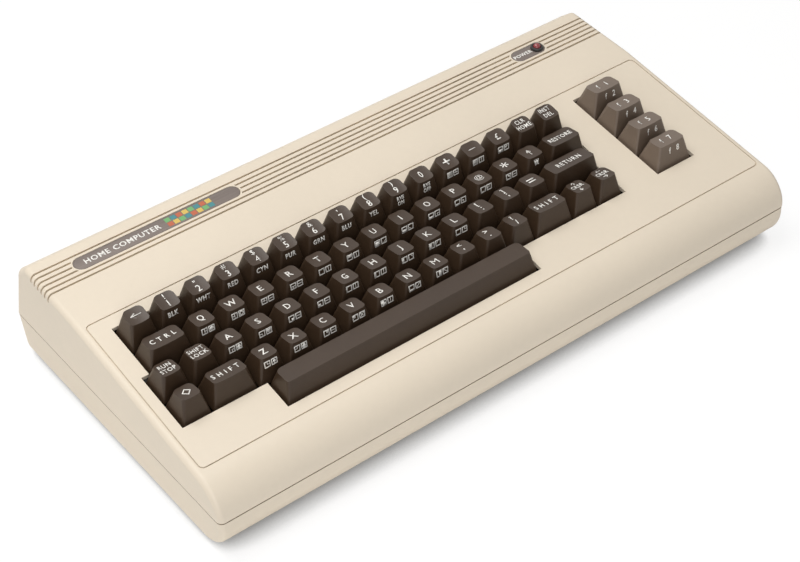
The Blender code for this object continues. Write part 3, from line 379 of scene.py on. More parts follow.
# Openings for the sockets, through both shells along the seam: low and high corners.
rear_inside, right_inside = 0.100862, 0.198301
board_level, shared_top = 0.01615, 0.0359
socket_bays = (
    ((0.101001, rear_inside, board_level), (0.173001, 0.115, shared_top)),
    ((0.058001, rear_inside, board_level), (0.098001, 0.115, 0.0363)),
    ((0.027901, rear_inside, board_level), (0.048101, 0.115, shared_top)),
    ((-0.000099, rear_inside, board_level), (0.020101, 0.115, shared_top)),
    ((-0.055999, rear_inside, 0.0094), (-0.023999, 0.115, 0.027)),
    ((-0.145999, rear_inside, 0.0094), (-0.089999, 0.115, 0.027)),
    ((right_inside, -0.072062, board_level), (0.207, -0.039862, 0.0294)),
    ((right_inside, -0.035062, board_level), (0.207, -0.002862, 0.0294)),
    ((right_inside, -0.000962, board_level), (0.207, 0.025038, 0.0343)),
    ((right_inside, 0.035938, board_level), (0.207, 0.056138, shared_top)))
for low, high in socket_bays:
    if high[2] > upper_seam:
        cut(upper, block("bay", low, high))
finish_with(upper, "BEVEL", width=0.00025, segments=2, limit_method="ANGLE",
            angle_limit=math.radians(40), harden_normals=False, use_clamp_overlap=True)
take(upper)
bpy.ops.object.shade_smooth_by_angle(angle=math.radians(35))
finish_with(upper, "WEIGHTED_NORMAL", keep_sharp=True, weight=80)


def dress(piece, body, slot, *nodes):
    """Let a piece ride on a body and let it stand for its solids; the slot is not used."""
    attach(piece, body)
    if nodes:
        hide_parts(*nodes)


dress(upper, "case", "case_plastic", "top_case")

# Lower case.
# The real tray is a second cream moulding with a round nose that meets the upper case at the seam.
# Its floor has two rows of cooling slots, four foot recesses and the holes for the case screws.
lower_half_width, lower_reach, lower_rim = 0.201851, 0.108012, 0.02685
lower = block("lower_case", (-lower_half_width, -lower_reach, 0.002), (lower_half_width, lower_reach, lower_rim))
bpy.ops.object.mode_set(mode="EDIT")
choose("VERT", lambda spots: near(spots[0].y, lower_reach) and near(spots[0].z, 0.002))
bpy.ops.transform.translate(value=(0, -0.0035, 0))
for y, reach, steps in ((-lower_reach, 0.02049, 24), (lower_reach - 0.0035, 0.0052, 6)):
    choose("EDGE", lambda spots: all(near(spot.y, y) and near(spot.z, 0.002) for spot in spots))
    bpy.ops.mesh.bevel(offset=reach, segments=steps, profile=0.5, affect="EDGES", clamp_overlap=False)
for end in (-lower_half_width, lower_half_width):
    choose("EDGE", lambda spots: all(near(spot.x, end) for spot in spots)
           and not all(near(spot.z, lower_rim) for spot in spots))
    bpy.ops.mesh.bevel(offset=0.0035, segments=6, profile=0.5, affect="EDGES", clamp_overlap=False)
bpy.ops.object.mode_set(mode="OBJECT")
bpy.ops.object.duplicate()
lower_form = bpy.context.object
take(lower)
bpy.ops.object.mode_set(mode="EDIT")
choose("FACE", lambda normal, spots: all(near(spot.z, lower_rim) for spot in spots))
bpy.ops.mesh.delete(type="FACE")
bpy.ops.object.mode_set(mode="OBJECT")
finish_with(lower, "SOLIDIFY", thickness=case_wall, offset=-1, use_even_offset=True)
finish_with(lower, "WELD", merge_threshold=weld_reach)
lower.data.materials.append(case_finish)

# A line of painted shade runs all round below the seam: a shallow cut lined with a dark colour that stands in for
# the shade in the gap between the shells.
seam_shade_finish = moulded_plastic("seam_painted_shade_plastic", (0.42, 0.35, 0.265), 0.7, mottle=0.15, sheen=0.2)
seam_line = block("seam_line", (-0.21, -0.115, lower_rim - 0.0006), (0.21, 0.115, 0.028))
seam_core = rounded_block("core", (0.0012 - lower_half_width, 0.0012 - lower_reach, 0.02),
                          (lower_half_width - 0.0012, lower_reach - 0.0012, 0.03), 0.0024)
cut(seam_line, seam_core)
seam_line.data.materials.append(seam_shade_finish)
cut(lower, seam_line)

vent = rounded_block("vents", (-0.00125, -0.018, 0.0), (0.00125, 0.018, 0.006), 0.0012, 4)
vent.location = (-0.052, -0.035, 0)
finish_with(vent, "ARRAY", count=14, use_relative_offset=False, use_constant_offset=True,
            constant_offset_displace=(0.008, 0, 0))
finish_with(vent, "ARRAY", count=2, use_relative_offset=False, use_constant_offset=True,
            constant_offset_displace=(0, 0.070, 0))
bpy.ops.object.transform_apply(location=True)
cut(lower, vent)


def rod(name, place, axis, radius, length, sides=32):
    """A round bar centred at a place along one axis."""
    deselect()
    turn = {"X": (0, math.pi / 2, 0), "Y": (math.pi / 2, 0, 0), "Z": (0, 0, 0)}[axis]
    bpy.ops.mesh.primitive_cylinder_add(vertices=sides, radius=radius, depth=length, location=place,
                                        rotation=turn)
    bpy.ops.object.transform_apply(location=True, rotation=True, scale=True)
    made = bpy.context.object
    made.name = name
    return made


def joined(*made):
    deselect()
    for piece in made:
        piece.select_set(True)
    bpy.context.view_layer.objects.active = made[0]
    bpy.ops.object.join()
    return bpy.context.object


screw_places = [(x, -0.094662) for x in (-0.15, 0.0, 0.15)]
foot_places = {"foot_front_left": (-0.180001, -0.078162), "foot_front_right": (0.180001, -0.078162),
               "foot_rear_left": (-0.180001, 0.086162), "foot_rear_right": (0.180001, 0.086162)}
sleeves = joined(*[rod("sleeve", (x, y, 0.0136), "Z", 0.004, 0.0262) for x, y in screw_places])
cut(sleeves, lower_form, operation="INTERSECT")
cut(lower, sleeves, operation="UNION")
for x, y in screw_places:
    cut(lower, rod("hole", (x, y, 0.0), "Z", 0.0033, 0.0170), rod("hole", (x, y, 0.01), "Z", 0.0018, 0.04))
for x, y in foot_places.values():
    cut(lower, rod("recess", (x, y, 0.0), "Z", 0.0073, 0.006))
for x in (-0.185001, 0.0, 0.185001):
    for y in (-0.072162, 0.089162):
        cut(lower, rod("post", (x, y, 0.008), "Z", 0.0035, 0.0122), operation="UNION")
for low, high in socket_bays:
    cut(lower, block("bay", low, high))
finish_with(lower, "BEVEL", width=0.00025, segments=2, limit_method="ANGLE",
            angle_limit=math.radians(40), use_clamp_overlap=True)
take(lower)
bpy.ops.object.shade_smooth_by_angle(angle=math.radians(35))
finish_with(lower, "WEIGHTED_NORMAL", keep_sharp=True, weight=80)
dress(lower, "case", "case_plastic", "bottom_case")

# Keycaps.
# Each real cap is a hollow moulding in dark brown plastic, taupe on the four function keys, with a
# dished top that differs from row to row, and its words and signs are printed in white on the top
# and on the front. A stem below slides in the keyboard frame and is pushed up by a spring.
cap_skirt = -0.003
stem_foot = -0.013
white_print = moulded_plastic("white_key_print", (0.95, 0.93, 0.88), 0.6, mottle=0.02, grain=0.0003)
key_finish = moulded_plastic("dark_brown_key_plastic", (0.045, 0.0262, 0.0145), 0.4, mottle=0.12,
                             grain=0.00035, grain_depth=0.00003, sheen=0.42)
function_key_finish = moulded_plastic("taupe_key_plastic", (0.138, 0.099, 0.071), 0.5, mottle=0.1,
                                      grain=0.0005, grain_depth=0.00005, sheen=0.75)


def ring_of_corners(width, front, rear, height, rise, front_radius, rear_radius):
    """A flat rectangle with rounded corners, added to the open mesh; its rear edge is higher by rise."""
    bpy.ops.mesh.select_all(action="DESELECT")
    bpy.ops.mesh.primitive_plane_add(size=1, location=(0, 0, 0))
    bpy.ops.transform.resize(value=(width, rear - front, 1))
    bpy.ops.transform.translate(value=(0, (front + rear) / 2, height))
    bpy.ops.mesh.delete(type="ONLY_FACE")
    for radius, edge_y in ((front_radius, front), (rear_radius, rear)):
        bpy.ops.mesh.select_mode(type="VERT")
        bpy.ops.mesh.select_all(action="DESELECT")
        shape = bmesh.from_edit_mesh(bpy.context.object.data)
        for spot in shape.verts:
            if near(spot.co.z, height) and near(spot.co.y, edge_y) and near(abs(spot.co.x), width / 2):
                spot.select = True
        shape.select_flush_mode()
        bpy.ops.mesh.bevel(offset=radius, segments=5, affect="VERTICES", clamp_overlap=False)
    if rise:
        choose("VERT", lambda spots: near(spots[0].z, height))
        slope = rise / (rear - front)
        shape = bmesh.from_edit_mesh(bpy.context.object.data)
        for spot in shape.verts:
            if spot.select:
                spot.co.z += (spot.co.y - front) * slope
        bmesh.update_edit_mesh(bpy.context.object.data)


def cap_shape(name, width, side, front, rear, front_height, rear_height, finish):
    """One cap of a row, with the rear left corner of its cell's rear edge at y = 0."""
    deselect()
    bpy.ops.mesh.primitive_plane_add(size=0.001)
    cap = bpy.context.object
    cap.name = name
    bpy.ops.object.mode_set(mode="EDIT")
    bpy.ops.mesh.select_all(action="SELECT")
    bpy.ops.mesh.delete(type="VERT")
    top_front, top_rear = -key_unit + front, -rear
    ring_of_corners(width - 0.0011, -key_unit + 0.00055, -0.00055, cap_skirt, 0, 0.0012, 0.0012)
    ring_of_corners(width - 2 * side, top_front, top_rear, front_height, rear_height - front_height,
                    0.0020, 0.0035)
    bpy.ops.mesh.select_mode(type="EDGE")
    bpy.ops.mesh.select_all(action="SELECT")
    bpy.ops.mesh.bridge_edge_loops()
    for test in (lambda spots: all(near(spot.z, cap_skirt) for spot in spots),
                 lambda spots: all(spot.z > 0.004 for spot in spots)):
        choose("EDGE", test)
        bpy.ops.mesh.edge_face_add()
    bpy.ops.mesh.select_all(action="SELECT")
    bpy.ops.mesh.normals_make_consistent(inside=False)
    bpy.ops.object.mode_set(mode="OBJECT")
    # The dish is a shallow cylinder whose axis runs from front to rear above the top.
    half_top, sink = width / 2 - side, 0.0006
    long_cap = width > 1.9 * key_unit
    if not long_cap:
        dish_radius = (half_top ** 2 + sink ** 2) / (2 * sink)
        tilt = math.atan2(rear_height - front_height, top_rear - top_front)
        middle = Vector((0, (top_front + top_rear) / 2, (front_height + rear_height) / 2))
        dish = rod(name + "_dish", (0, 0, 0), "Y", dish_radius, 0.03, 256)
        dish.matrix_world = (Matrix.Translation(middle) @ Matrix.Rotation(tilt, 4, "X")
                             @ Matrix.Translation((0, 0, dish_radius - sink)))
        bpy.ops.object.transform_apply(location=True, rotation=True)
        cut(cap, dish)
    stem = rounded_block(name + "_stem", (-0.0025, -key_unit / 2 - 0.0025, stem_foot),
                         (0.0025, -key_unit / 2 + 0.0025, cap_skirt + 0.001), 0.0005, 2)
    cut(cap, stem, operation="UNION")
    finish_with(cap, "BEVEL", width=0.00055, segments=3, limit_method="ANGLE",
                angle_limit=math.radians(36), use_clamp_overlap=True)
    take(cap)
    bpy.ops.object.shade_smooth_by_angle(angle=math.radians(38))
    finish_with(cap, "WEIGHTED_NORMAL", keep_sharp=True, weight=70)
    cap.data.materials.append(finish)
    return cap


def printed(text, height, spacing=1.0, bold=0.0, narrow=1.0):
    """Lettering as a flat mesh at the origin, by the height of its capitals."""
    deselect()
    bpy.ops.object.text_add(location=(0, 0, 0))
    word = bpy.context.object
    word.data.body = text
    word.data.size = height / 0.682
    word.data.space_character = spacing
    word.data.resolution_u = 2
    word.data.offset = bold
    bpy.ops.object.convert(target="MESH")
    word = bpy.context.object
    word.scale.x = narrow
    bpy.ops.object.transform_apply(scale=True)
    return word


def middle_of(word):
    low, high = [[end(spot.co[axis] for spot in word.data.vertices) for axis in (0, 1)] for end in (min, max)]
    return [(a + b) / 2 for a, b in zip(low, high)]


full_cell = printed("\u2573", 0.001)
cell_middle = middle_of(full_cell)
bpy.data.objects.remove(full_cell, do_unlink=True)


def words_on(cap, top_words, front_words, top_middle, front_middle):
    """Print words flat above and in front of a cap, press them onto it, and join them to it.

    Each word is (text, capital height, x, distance behind or above the middle, spacing). A single
    sign is stretched by its spacing.
    """
    prints = []
    for side, words, middle in (("top", top_words, top_middle), ("front", front_words, front_middle)):
        sheets = []
        for text, height, x, up, spacing in words:
            narrow = 0.8
            if len(text) == 1:
                narrow = spacing * (0.72 if text in "OQCGDU0" else 0.88 if text.isalnum() and text != "M" else 1.0)
            bold = 0.00011 if side == "front" else -0.00003 if text in "4M#$%&@" else 0.00006
            if len(text) > 1:
                bold = 0.00013 if side == "front" else 0.00009 if height > 0.003 else 0.00006
            word = printed(text, height, spacing, bold, narrow)
            centre = middle_of(word)
            if "\u2500" <= text <= "\u259f":
                centre = [part * height / 0.001 for part in cell_middle]
            word.location = (x - centre[0], up - centre[1], 0)
            bpy.ops.object.transform_apply(location=True)
            sheets.append(word)
        if not sheets:
            continue
        sheet = joined(*sheets)
        if side == "top":
            sheet.location = (0, middle, 0.03)
        else:
            sheet.rotation_euler = (math.pi / 2, 0, 0)
            sheet.location = (0, -0.03, middle)
        bpy.ops.object.transform_apply(location=True, rotation=True)
        finish_with(sheet, "SHRINKWRAP", wrap_method="PROJECT", target=cap, offset=0.00004,
                    use_project_x=False, use_project_y=side == "front", use_project_z=side == "top",
                    use_negative_direction=side == "top", use_positive_direction=side == "front")
        finish_with(sheet, "SOLIDIFY", thickness=0.00006, offset=-1)
        sheet.data.materials.clear()
        sheet.data.materials.append(white_print)
        prints.append(sheet)
    if prints:
        joined(cap, *prints)


# Row tops: insets of the top from its cell at the side, the front and the rear, then its heights.
row_tops = ((0.0036, 0.0050, 0.0030, 0.0135, 0.0141), (0.0038, 0.0050, 0.0021, 0.0122, 0.0092),
            (0.0039, 0.0052, 0.0016, 0.0127, 0.0089), (0.0040, 0.0055, 0.0021, 0.0128, 0.0092),
            (0.0034, 0.0057, 0.0014, 0.0104, 0.0086))
function_top = (0.0045, 0.0060, 0.0022, 0.0133, 0.0108)
shapes = {}


def add_key(name, node, row, start, width, top_words=(), front_words=(), finish=None):
    """One key in a row: a copy of its row's cap with its own words, riding on its own joint."""
    sizes = function_top if finish else row_tops[row]
    if (row, width, finish) not in shapes:
        shapes[row, width, finish] = cap_shape("cap_shape", width * key_unit, *sizes, finish or key_finish)
    shape = shapes[row, width, finish]
    cap = bpy.data.objects.new(name, shape.data.copy())
    bpy.context.collection.objects.link(cap)
    side, front, rear, front_height, rear_height = sizes
    words_on(cap, top_words, front_words, (-key_unit + front - rear) / 2, front_height)
    cap.name = name
    place_in(keyboard_axes @ Matrix.Translation(((start + width / 2) * key_unit, -row * key_unit, 0)), cap)
    dress(cap, node + "_body", "taupe_key_plastic" if finish else "dark_key_plastic", node)


def letter(text, height=0.0046):
    return [(text, height, 0, 0.0, 1.0)]


def wide(text, spacing, height=0.0035):
    return [(text, height, 0, 0.0, spacing)]


def two_lines(upper_line, lower_line, height=0.0030):
    return [(upper_line, height, 0, 0.0023, 1.12), (lower_line, height, 0, -0.0021, 1.12)]


def signs(pair):
    """The two graphic signs on the front of a letter key, each drawn in its own square frame."""
    made = []
    for sign, x in zip(pair, (-0.0022, 0.0022)):
        height = 0.00225 if "\u2500" <= sign <= "\u259f" else 0.0021 if sign in "\u25cf\u25cb" else 0.0016
        made += [("\u25a1", 0.0034, x, -0.0044, 1.0), (sign, height, x, -0.0044, 1.0)]
    return made


def number(digit, shifted):
    return [(digit, 0.0043, 0, -0.0021, 1.0), (shifted, 0.0034, 0, 0.0030, 1.0)]


def colour_word(text):
    return [(text, 0.0029, 0, -0.0045, 1.15)]


add_key("cap_left_arrow", "key_left_arrow", 0, 0, 1, [("\u2190", 0.0036, 0, 0.0, 1.7)])
colour_words = ("BLK", "WHT", "RED", "CYN", "PUR", "GRN", "BLU", "YEL")
for place, digit in enumerate("1234567890"):
    front = colour_word(colour_words[place]) if place < 8 else [
        ("RVS", 0.0024, 0, -0.0033, 1.12), ("ON" if place == 8 else "OFF", 0.0024, 0, -0.0065, 1.12)]
    top = number(digit, "!\"#$%&'()"[place]) if place < 9 else letter(digit)
    add_key("cap_" + digit, "keys_digits", 0, 1 + place, 1, top, front)
for place, (name, sign, height, pair) in enumerate((
        ("plus", "+", 0.0072, "\u2592\u253c"), ("minus", "\u2014", 0.0030, "\u2592\u2502"),
        ("pound", "\u00a3", 0.0044, "\u2584\u25e4"))):
    add_key("cap_" + name, "key_" + name, 0, 11 + place, 1, letter(sign, height), signs(pair))
add_key("cap_clear_home", "key_clear_home", 0, 14, 1, two_lines("CLR", "HOME"))
add_key("cap_insert_delete", "key_insert_delete", 0, 15, 1, two_lines("INST", "DEL"))

add_key("cap_control", "key_control", 1, 0, 1.5, wide("CTRL", 1.9))
upper_pairs = ("\u251c\u25cf", "\u2524\u25cb", "\u2534\u2500", "\u252c\u2500", "\u2594\u2502",
               "\u2580\u2502", "\u2586\u256d", "\u2584\u256e", "\u2583\u250c", "\u2582\u2510")
for place, (text, pair) in enumerate(zip("QWERTYUIOP", upper_pairs)):
    add_key("cap_" + text.lower(), "keys_q_to_p", 1, 1.5 + place, 1, letter(text), signs(pair))
add_key("cap_at", "key_at", 1, 11.5, 1, letter("@", 0.0040), signs("\u2581\u2518"))
add_key("cap_star", "key_star", 1, 12.5, 1, letter("*", 0.0080), signs("\u25e5\u2500"))
add_key("cap_up_arrow", "key_up_arrow", 1, 13.5, 1, [("\u2191", 0.0050, 0, 0.0, 0.6)],
        [("\u03c0", 0.0044, 0, -0.0042, 1.0)])
add_key("cap_restore", "key_restore", 1, 14.5, 1.5, wide("RESTORE", 1.1, 0.0033))

add_key("cap_run_stop", "key_run_stop", 2, -0.25, 1, two_lines("RUN", "STOP"))
add_key("cap_shift_lock", "key_shift_lock", 2, 0.75, 1, two_lines("SHIFT", "LOCK"))
home_pairs = ("\u250c\u2660", "\u2510\u2665", "\u2597\u2500", "\u2596\u2500", "\u258f\u2502",
              "\u258e\u2502", "\u258d\u2570", "\u258c\u256f", "\u2581\u2514")
for place, (text, pair) in enumerate(zip("ASDFGHJKL", home_pairs)):
    add_key("cap_" + text.lower(), "keys_a_to_l", 2, 1.75 + place, 1, letter(text), signs(pair))
add_key("cap_colon", "key_colon", 2, 10.75, 1, [("[", 0.0034, 0, 0.0027, 1.0), (":", 0.0044, 0, -0.0022, 1.0)])
add_key("cap_semicolon", "key_semicolon", 2, 11.75, 1,
        [("]", 0.0034, 0, 0.0027, 1.0), (";", 0.0044, 0, -0.0022, 1.0)])
add_key("cap_equals", "key_equals", 2, 12.75, 1, letter("=", 0.0072))
add_key("cap_return", "key_return", 2, 13.75, 2, wide("RETURN", 1.25))

add_key("cap_corner", "key_corner", 3, -0.25, 1, letter("\u25c7", 0.0038))
add_key("cap_shift_left", "key_shift_left", 3, 0.75, 1.5, wide("SHIFT", 1.8))
lower_pairs = ("\u2514\u2666", "\u2518\u2663", "\u259d\u2500", "\u2598\u2573", "\u259a\u2502",
               "\u2582\u2571", "\u2590\u2572")
for place, (text, pair) in enumerate(zip("ZXCVBNM", lower_pairs)):
    add_key("cap_" + text.lower(), "keys_z_to_m", 3, 2.25 + place, 1, letter(text), signs(pair))
for name, start, high_sign, low_sign in (("comma", 9.25, "<", ","), ("period", 10.25, ">", "."),
                                         ("slash", 11.25, "?", "/")):
    add_key("cap_" + name, "key_" + name, 3, start, 1,
            [(high_sign, 0.0036, 0, 0.0026, 1.0), (low_sign, 0.0042, 0, -0.0024, 1.0)])
add_key("cap_shift_right", "key_shift_right", 3, 12.25, 1.5, wide("SHIFT", 1.8))
add_key("cap_cursor_down", "key_cursor_down", 3, 13.75, 1,
        [("\u2191", 0.0026, 0, 0.0038, 1.0), ("CRSR", 0.0028, 0, 0.0003, 1.12), ("\u2193", 0.0026, 0, -0.0033, 1.0)])
add_key("cap_cursor_right", "key_cursor_right", 3, 14.75, 1,
        [("\u2190", 0.0028, 0, 0.0035, 1.0), ("CRSR", 0.0028, 0, 0.0003, 1.12), ("\u2192", 0.0028, 0, -0.0030, 1.0)])
add_key("cap_space", "space_bar", 4, 2.5, 9)
for row, name in enumerate(("f1", "f3", "f5", "f7")):
    add_key("cap_" + name, "key_" + name, row, 17.164, 1.5,
            [("f", 0.0040, -0.0032, 0.0002, 1.0), (name[1], 0.0040, 0.0032, 0.0002, 1.0)],
            [("f", 0.0036, -0.0022, -0.0046, 1.0), (str(int(name[1]) + 1), 0.0036, 0.0040, -0.0046, 1.0)],
            function_key_finish)
for shape in shapes.values():
    bpy.data.objects.remove(shape, do_unlink=True)

# Badges.
# Two pressed plates of brushed grey metal with rounded ends, glued into their recesses. The long one
# carries blocks of colour in a plain layout of its own, the short one the word for the lamp.
brushed = bpy.data.materials.new("brushed_badge_metal")
brushed.use_nodes = True
nodes, links = brushed.node_tree.nodes, brushed.node_tree.links
shader = nodes["Principled BSDF"]
shader.inputs["Metallic"].default_value = 0.12
shader.inputs["Specular IOR Level"].default_value = 0.25
place = nodes.new("ShaderNodeTexCoord")
stretch = nodes.new("ShaderNodeMapping")
stretch.inputs["Scale"].default_value = (40.0, 2600.0, 2600.0)
brush = nodes.new("ShaderNodeTexNoise")
brush.inputs["Scale"].default_value = 1.0
brush.inputs["Detail"].default_value = 4.0
shade = nodes.new("ShaderNodeValToRGB")
shade.color_ramp.elements[0].position = 0.3
shade.color_ramp.elements[1].position = 0.7
shade.color_ramp.elements[0].color = (0.18, 0.148, 0.132, 1)
shade.color_ramp.elements[1].color = (0.235, 0.198, 0.178, 1)
gloss = nodes.new("ShaderNodeMapRange")
gloss.inputs["To Min"].default_value = 0.45
gloss.inputs["To Max"].default_value = 0.6
links.new(place.outputs["Object"], stretch.inputs["Vector"])
links.new(stretch.outputs["Vector"], brush.inputs["Vector"])
links.new(brush.outputs["Fac"], shade.inputs["Fac"])
links.new(shade.outputs["Color"], shader.inputs["Base Color"])
links.new(brush.outputs["Fac"], gloss.inputs["Value"])
links.new(gloss.outputs["Result"], shader.inputs["Roughness"])

plate_top = -0.0001
for name, centre_x, length in (("name_badge", name_badge_x, name_badge_length),
                               ("power_badge", power_badge_x, power_badge_length)):
    plate = pill(name + "_plate", (centre_x, badge_y), length, badge_width, plate_top - 0.0006, plate_top)
    bpy.ops.object.mode_set(mode="EDIT")
    choose("EDGE", lambda spots: all(near(spot.z, plate_top) for spot in spots))
    bpy.ops.mesh.bevel(offset=0.0002, segments=2, affect="EDGES")
    bpy.ops.object.mode_set(mode="OBJECT")
    if name == "power_badge":
        cut(plate, rod("hole", (lamp_place[0], lamp_place[1], 0), "Z", 0.0039, 0.01, 48))
    place_in(band_axes, plate)
    take(plate)
    bpy.ops.object.shade_smooth_by_angle(angle=math.radians(30))
    plate.data.materials.append(brushed)
    dress(plate, "case", "badge_metal", name)


def flat_print(name, text, height, centre, spacing, finish):
    """White lettering printed on a badge."""
    word = printed(text, height, spacing, 0.00012)
    word.name = name
    middle = middle_of(word)
    word.location = (centre[0] - middle[0], centre[1] - middle[1], plate_top + 0.00005)
    bpy.ops.object.transform_apply(location=True)
    finish_with(word, "SOLIDIFY", thickness=0.00008, offset=-1)
    word.data.materials.append(finish)
    place_in(band_axes, word)
    return word


for name, text, height, centre_x, spacing in (("power_word", "POWER", 0.0026, 0.1450, 1.1),
                                              ("badge_words", "HOME COMPUTER", 0.0037, -0.1475, 1.12)):
    dress(flat_print(name, text, height, (centre_x, badge_y), spacing, white_print), "case", "badge_metal")

colour_blocks = (("orange_red", (0.52, 0.13, 0.06)), ("yellow", (0.70, 0.50, 0.12)),
                 ("green", (0.17, 0.42, 0.16)), ("teal", (0.06, 0.25, 0.27)))
tile, tile_gap = 0.0034, 0.0005
for step, (name, colour) in enumerate(colour_blocks):
    paint = moulded_plastic("badge_" + name + "_paint", colour, 0.4, mottle=0.03, grain=0.0003,
                            grain_depth=0.00001)
    patches = []
    for row in (-1, 1):
        for run in range(2):
            middle = -0.1172 + ((step + (2 if row > 0 else 0)) % 4 + 4 * run) * (tile + tile_gap)
            centre_y = badge_y + row * (tile + tile_gap) / 2
            patches.append(rounded_block("badge_tiles_" + name,
                                         (middle - tile / 2, centre_y - tile / 2, plate_top - 0.0001),
                                         (middle + tile / 2, centre_y + tile / 2, plate_top + 0.00006),
                                         0.0003, 2))
    deselect()
    for patch in patches:
        patch.select_set(True)
    bpy.ops.object.join()
    patch = bpy.context.object
    patch.data.materials.append(paint)
    place_in(band_axes, patch)
    dress(patch, "case", "badge_metal")

# Power lamp.
# A turned black holder snaps into the power badge round a domed lens of clear red plastic.
black_finish = moulded_plastic("black_plastic", (0.014, 0.013, 0.012), 0.42, mottle=0.15, grain=0.0004)
lens_finish = moulded_plastic("red_lamp_lens", (0.26, 0.015, 0.018), 0.12, mottle=0.12, grain=0.002,
                              grain_depth=0.00001, gloss_spread=0.03)
lens_finish.node_tree.nodes["Principled BSDF"].inputs["Coat Weight"].default_value = 0.5


def turned(name, profile, steps=48):
    """A turned piece: a line of (radius, height) spun round an upright axis, closed on itself."""
    deselect()
    bpy.ops.mesh.primitive_circle_add(vertices=len(profile), radius=0.001, location=(0, 0, 0))
    made = bpy.context.object
    made.name = name
    for spot, (radius, height) in zip(made.data.vertices, profile):
        spot.co = (radius, 0, height)
    bpy.ops.object.mode_set(mode="EDIT")
    bpy.ops.mesh.select_all(action="SELECT")
    bpy.ops.mesh.spin(steps=steps, angle=2 * math.pi, center=(0, 0, 0), axis=(0, 0, 1), use_auto_merge=False)
    bpy.ops.mesh.select_all(action="SELECT")
    bpy.ops.mesh.remove_doubles(threshold=0.000001)
    bpy.ops.mesh.normals_make_consistent(inside=False)
    bpy.ops.object.mode_set(mode="OBJECT")
    bpy.ops.object.shade_smooth_by_angle(angle=math.radians(32))
    return made


holder = turned("lamp_holder_ring", [(0.0028, 0.0016), (0.0029, 0.0017), (0.0037, 0.0016), (0.0041, 0.0012),
                                     (0.0042, 0.0008), (0.0042, 0.0002), (0.0036, 0.0002),
                                     (0.0036, -0.006), (0.0028, -0.006)])
holder.data.materials.append(black_finish)
dome = [(0.0025 * math.sin(turn * math.pi / 20), 0.0009 + 0.0025 * math.cos(turn * math.pi / 20))
        for turn in range(11)]
lens = turned("lamp_lens", dome + [(0.0025, -0.006), (0, -0.006)])
lens.data.materials.append(lens_finish)
for piece, node, slot in ((holder, "lamp_holder", "black_plastic"), (lens, "power_lamp", "red_lens")):
    place_in(band_axes @ Matrix.Translation((lamp_place[0], lamp_place[1], 0)), piece)
    dress(piece, "case", slot, node)

# Round sockets.
# Each is a black plastic block on the main board with a tinned ring, a black insert and a ring of
# holes for the plug's pins: the power socket at the right side, video and serial sockets behind.
tin_finish = moulded_plastic("tinned_steel", (0.62, 0.61, 0.58), 0.3, mottle=0.06, grain=0.0008,
                             grain_depth=0.00001)
tin_finish.node_tree.nodes["Principled BSDF"].inputs["Metallic"].default_value = 1.0
# Painted shade: the pin holes and the notch of each insert are lined with a blacker, duller colour than the insert,
# for the shade inside them.
hole_shade_finish = moulded_plastic("socket_hole_painted_shade", (0.006, 0.006, 0.006), 0.7, sheen=0.1)


def eased(piece, width=0.0003, segments=2):
    """Soften the sharp edges of a hard piece and shade it."""
    finish_with(piece, "BEVEL", width=width, segments=segments, limit_method="ANGLE",
                angle_limit=math.radians(40), use_clamp_overlap=True)
    take(piece)
    bpy.ops.object.shade_smooth_by_angle(angle=math.radians(35))
    finish_with(piece, "WEIGHTED_NORMAL", keep_sharp=True, weight=70)


def round_socket(node, place, facing, pins):
    """Modelled facing the rear with its face's middle at the origin, then turned and placed."""
    body = block(node + "_shell", (-0.0095, -0.017, -0.0095), (0.0095, 0, 0.0095))
    body.data.materials.append(black_finish)
    cut(body, rod("well", (0, -0.003, 0), "Y", 0.0072, 0.010, 48))
    insert = rod("insert", (0, -0.0055, 0), "Y", 0.0052, 0.0075, 48)
    insert.data.materials.append(black_finish)
    holes = []
    for index in range(pins):
        turn = math.pi * (index / (pins - 1) - 1)
        hole = rod("hole", (0.0032 * math.cos(turn), -0.003, 0.0032 * math.sin(turn)), "Y", 0.0008, 0.008, 16)
        hole.data.materials.append(hole_shade_finish)
        holes.append(hole)
    notch = block("notch", (-0.001, -0.004, 0.0042), (0.001, 0.003, 0.007))
    notch.data.materials.append(hole_shade_finish)
    cut(insert, *holes, notch)
    eased(insert, 0.0002)
    eased(body, 0.0004)
    ring = turned(node + "_ring", [(0.0064, 0.0002), (0.0069, 0.0002), (0.0069, -0.0076), (0.0064, -0.0076)])
    take(ring)
    ring.rotation_euler = (-math.pi / 2, 0, 0)
    bpy.ops.object.transform_apply(rotation=True)
    ring.data.materials.append(tin_finish)
    socket = joined(body, insert, ring)
    socket.name = node + "_detailed"
    turn = Matrix.Rotation(-math.pi / 2, 4, "Z") if facing == "right" else Matrix.Identity(4)
    place_in(Matrix.Translation(place) @ turn, socket)
    dress(socket, "case", "black_plastic", node)


socket_middle = 0.0258
round_socket("video_socket", (0.038001, 0.101162, socket_middle), "rear", 5)
round_socket("serial_socket", (0.010001, 0.101162, socket_middle), "rear", 6)
round_socket("power_socket", (0.198901, 0.046038, socket_middle), "right", 7)

# Control ports.
# Two nine-pin sockets at the right side. A drawn steel shell with a slanted outline stands out of a
# black block, and two rows of five and four gold-coloured pins stand in it.
pin_finish = moulded_plastic("gilt_pin_metal", (0.72, 0.53, 0.24), 0.28, mottle=0.05, grain=0.0005,
                             grain_depth=0.000005)
pin_finish.node_tree.nodes["Principled BSDF"].inputs["Metallic"].default_value = 1.0


def slanted_block(name, near_x, far_x, length, height, radius):
    """A block along X whose upper side is shorter than its lower one, with rounded long edges."""
    made = block(name, (near_x, -length / 2, -height / 2), (far_x, length / 2, height / 2))
    bpy.ops.object.mode_set(mode="EDIT")
    for side in (-1, 1):
        choose("VERT", lambda spots: near(spots[0].y, side * length / 2) and near(spots[0].z, -height / 2))
        bpy.ops.transform.translate(value=(0, -side * 0.0008, 0))
    choose("EDGE", lambda spots: near(spots[0].y, spots[1].y) and near(spots[0].z, spots[1].z))
    bpy.ops.mesh.bevel(offset=radius, segments=5, affect="EDGES", clamp_overlap=False)
    bpy.ops.object.mode_set(mode="OBJECT")
    return made


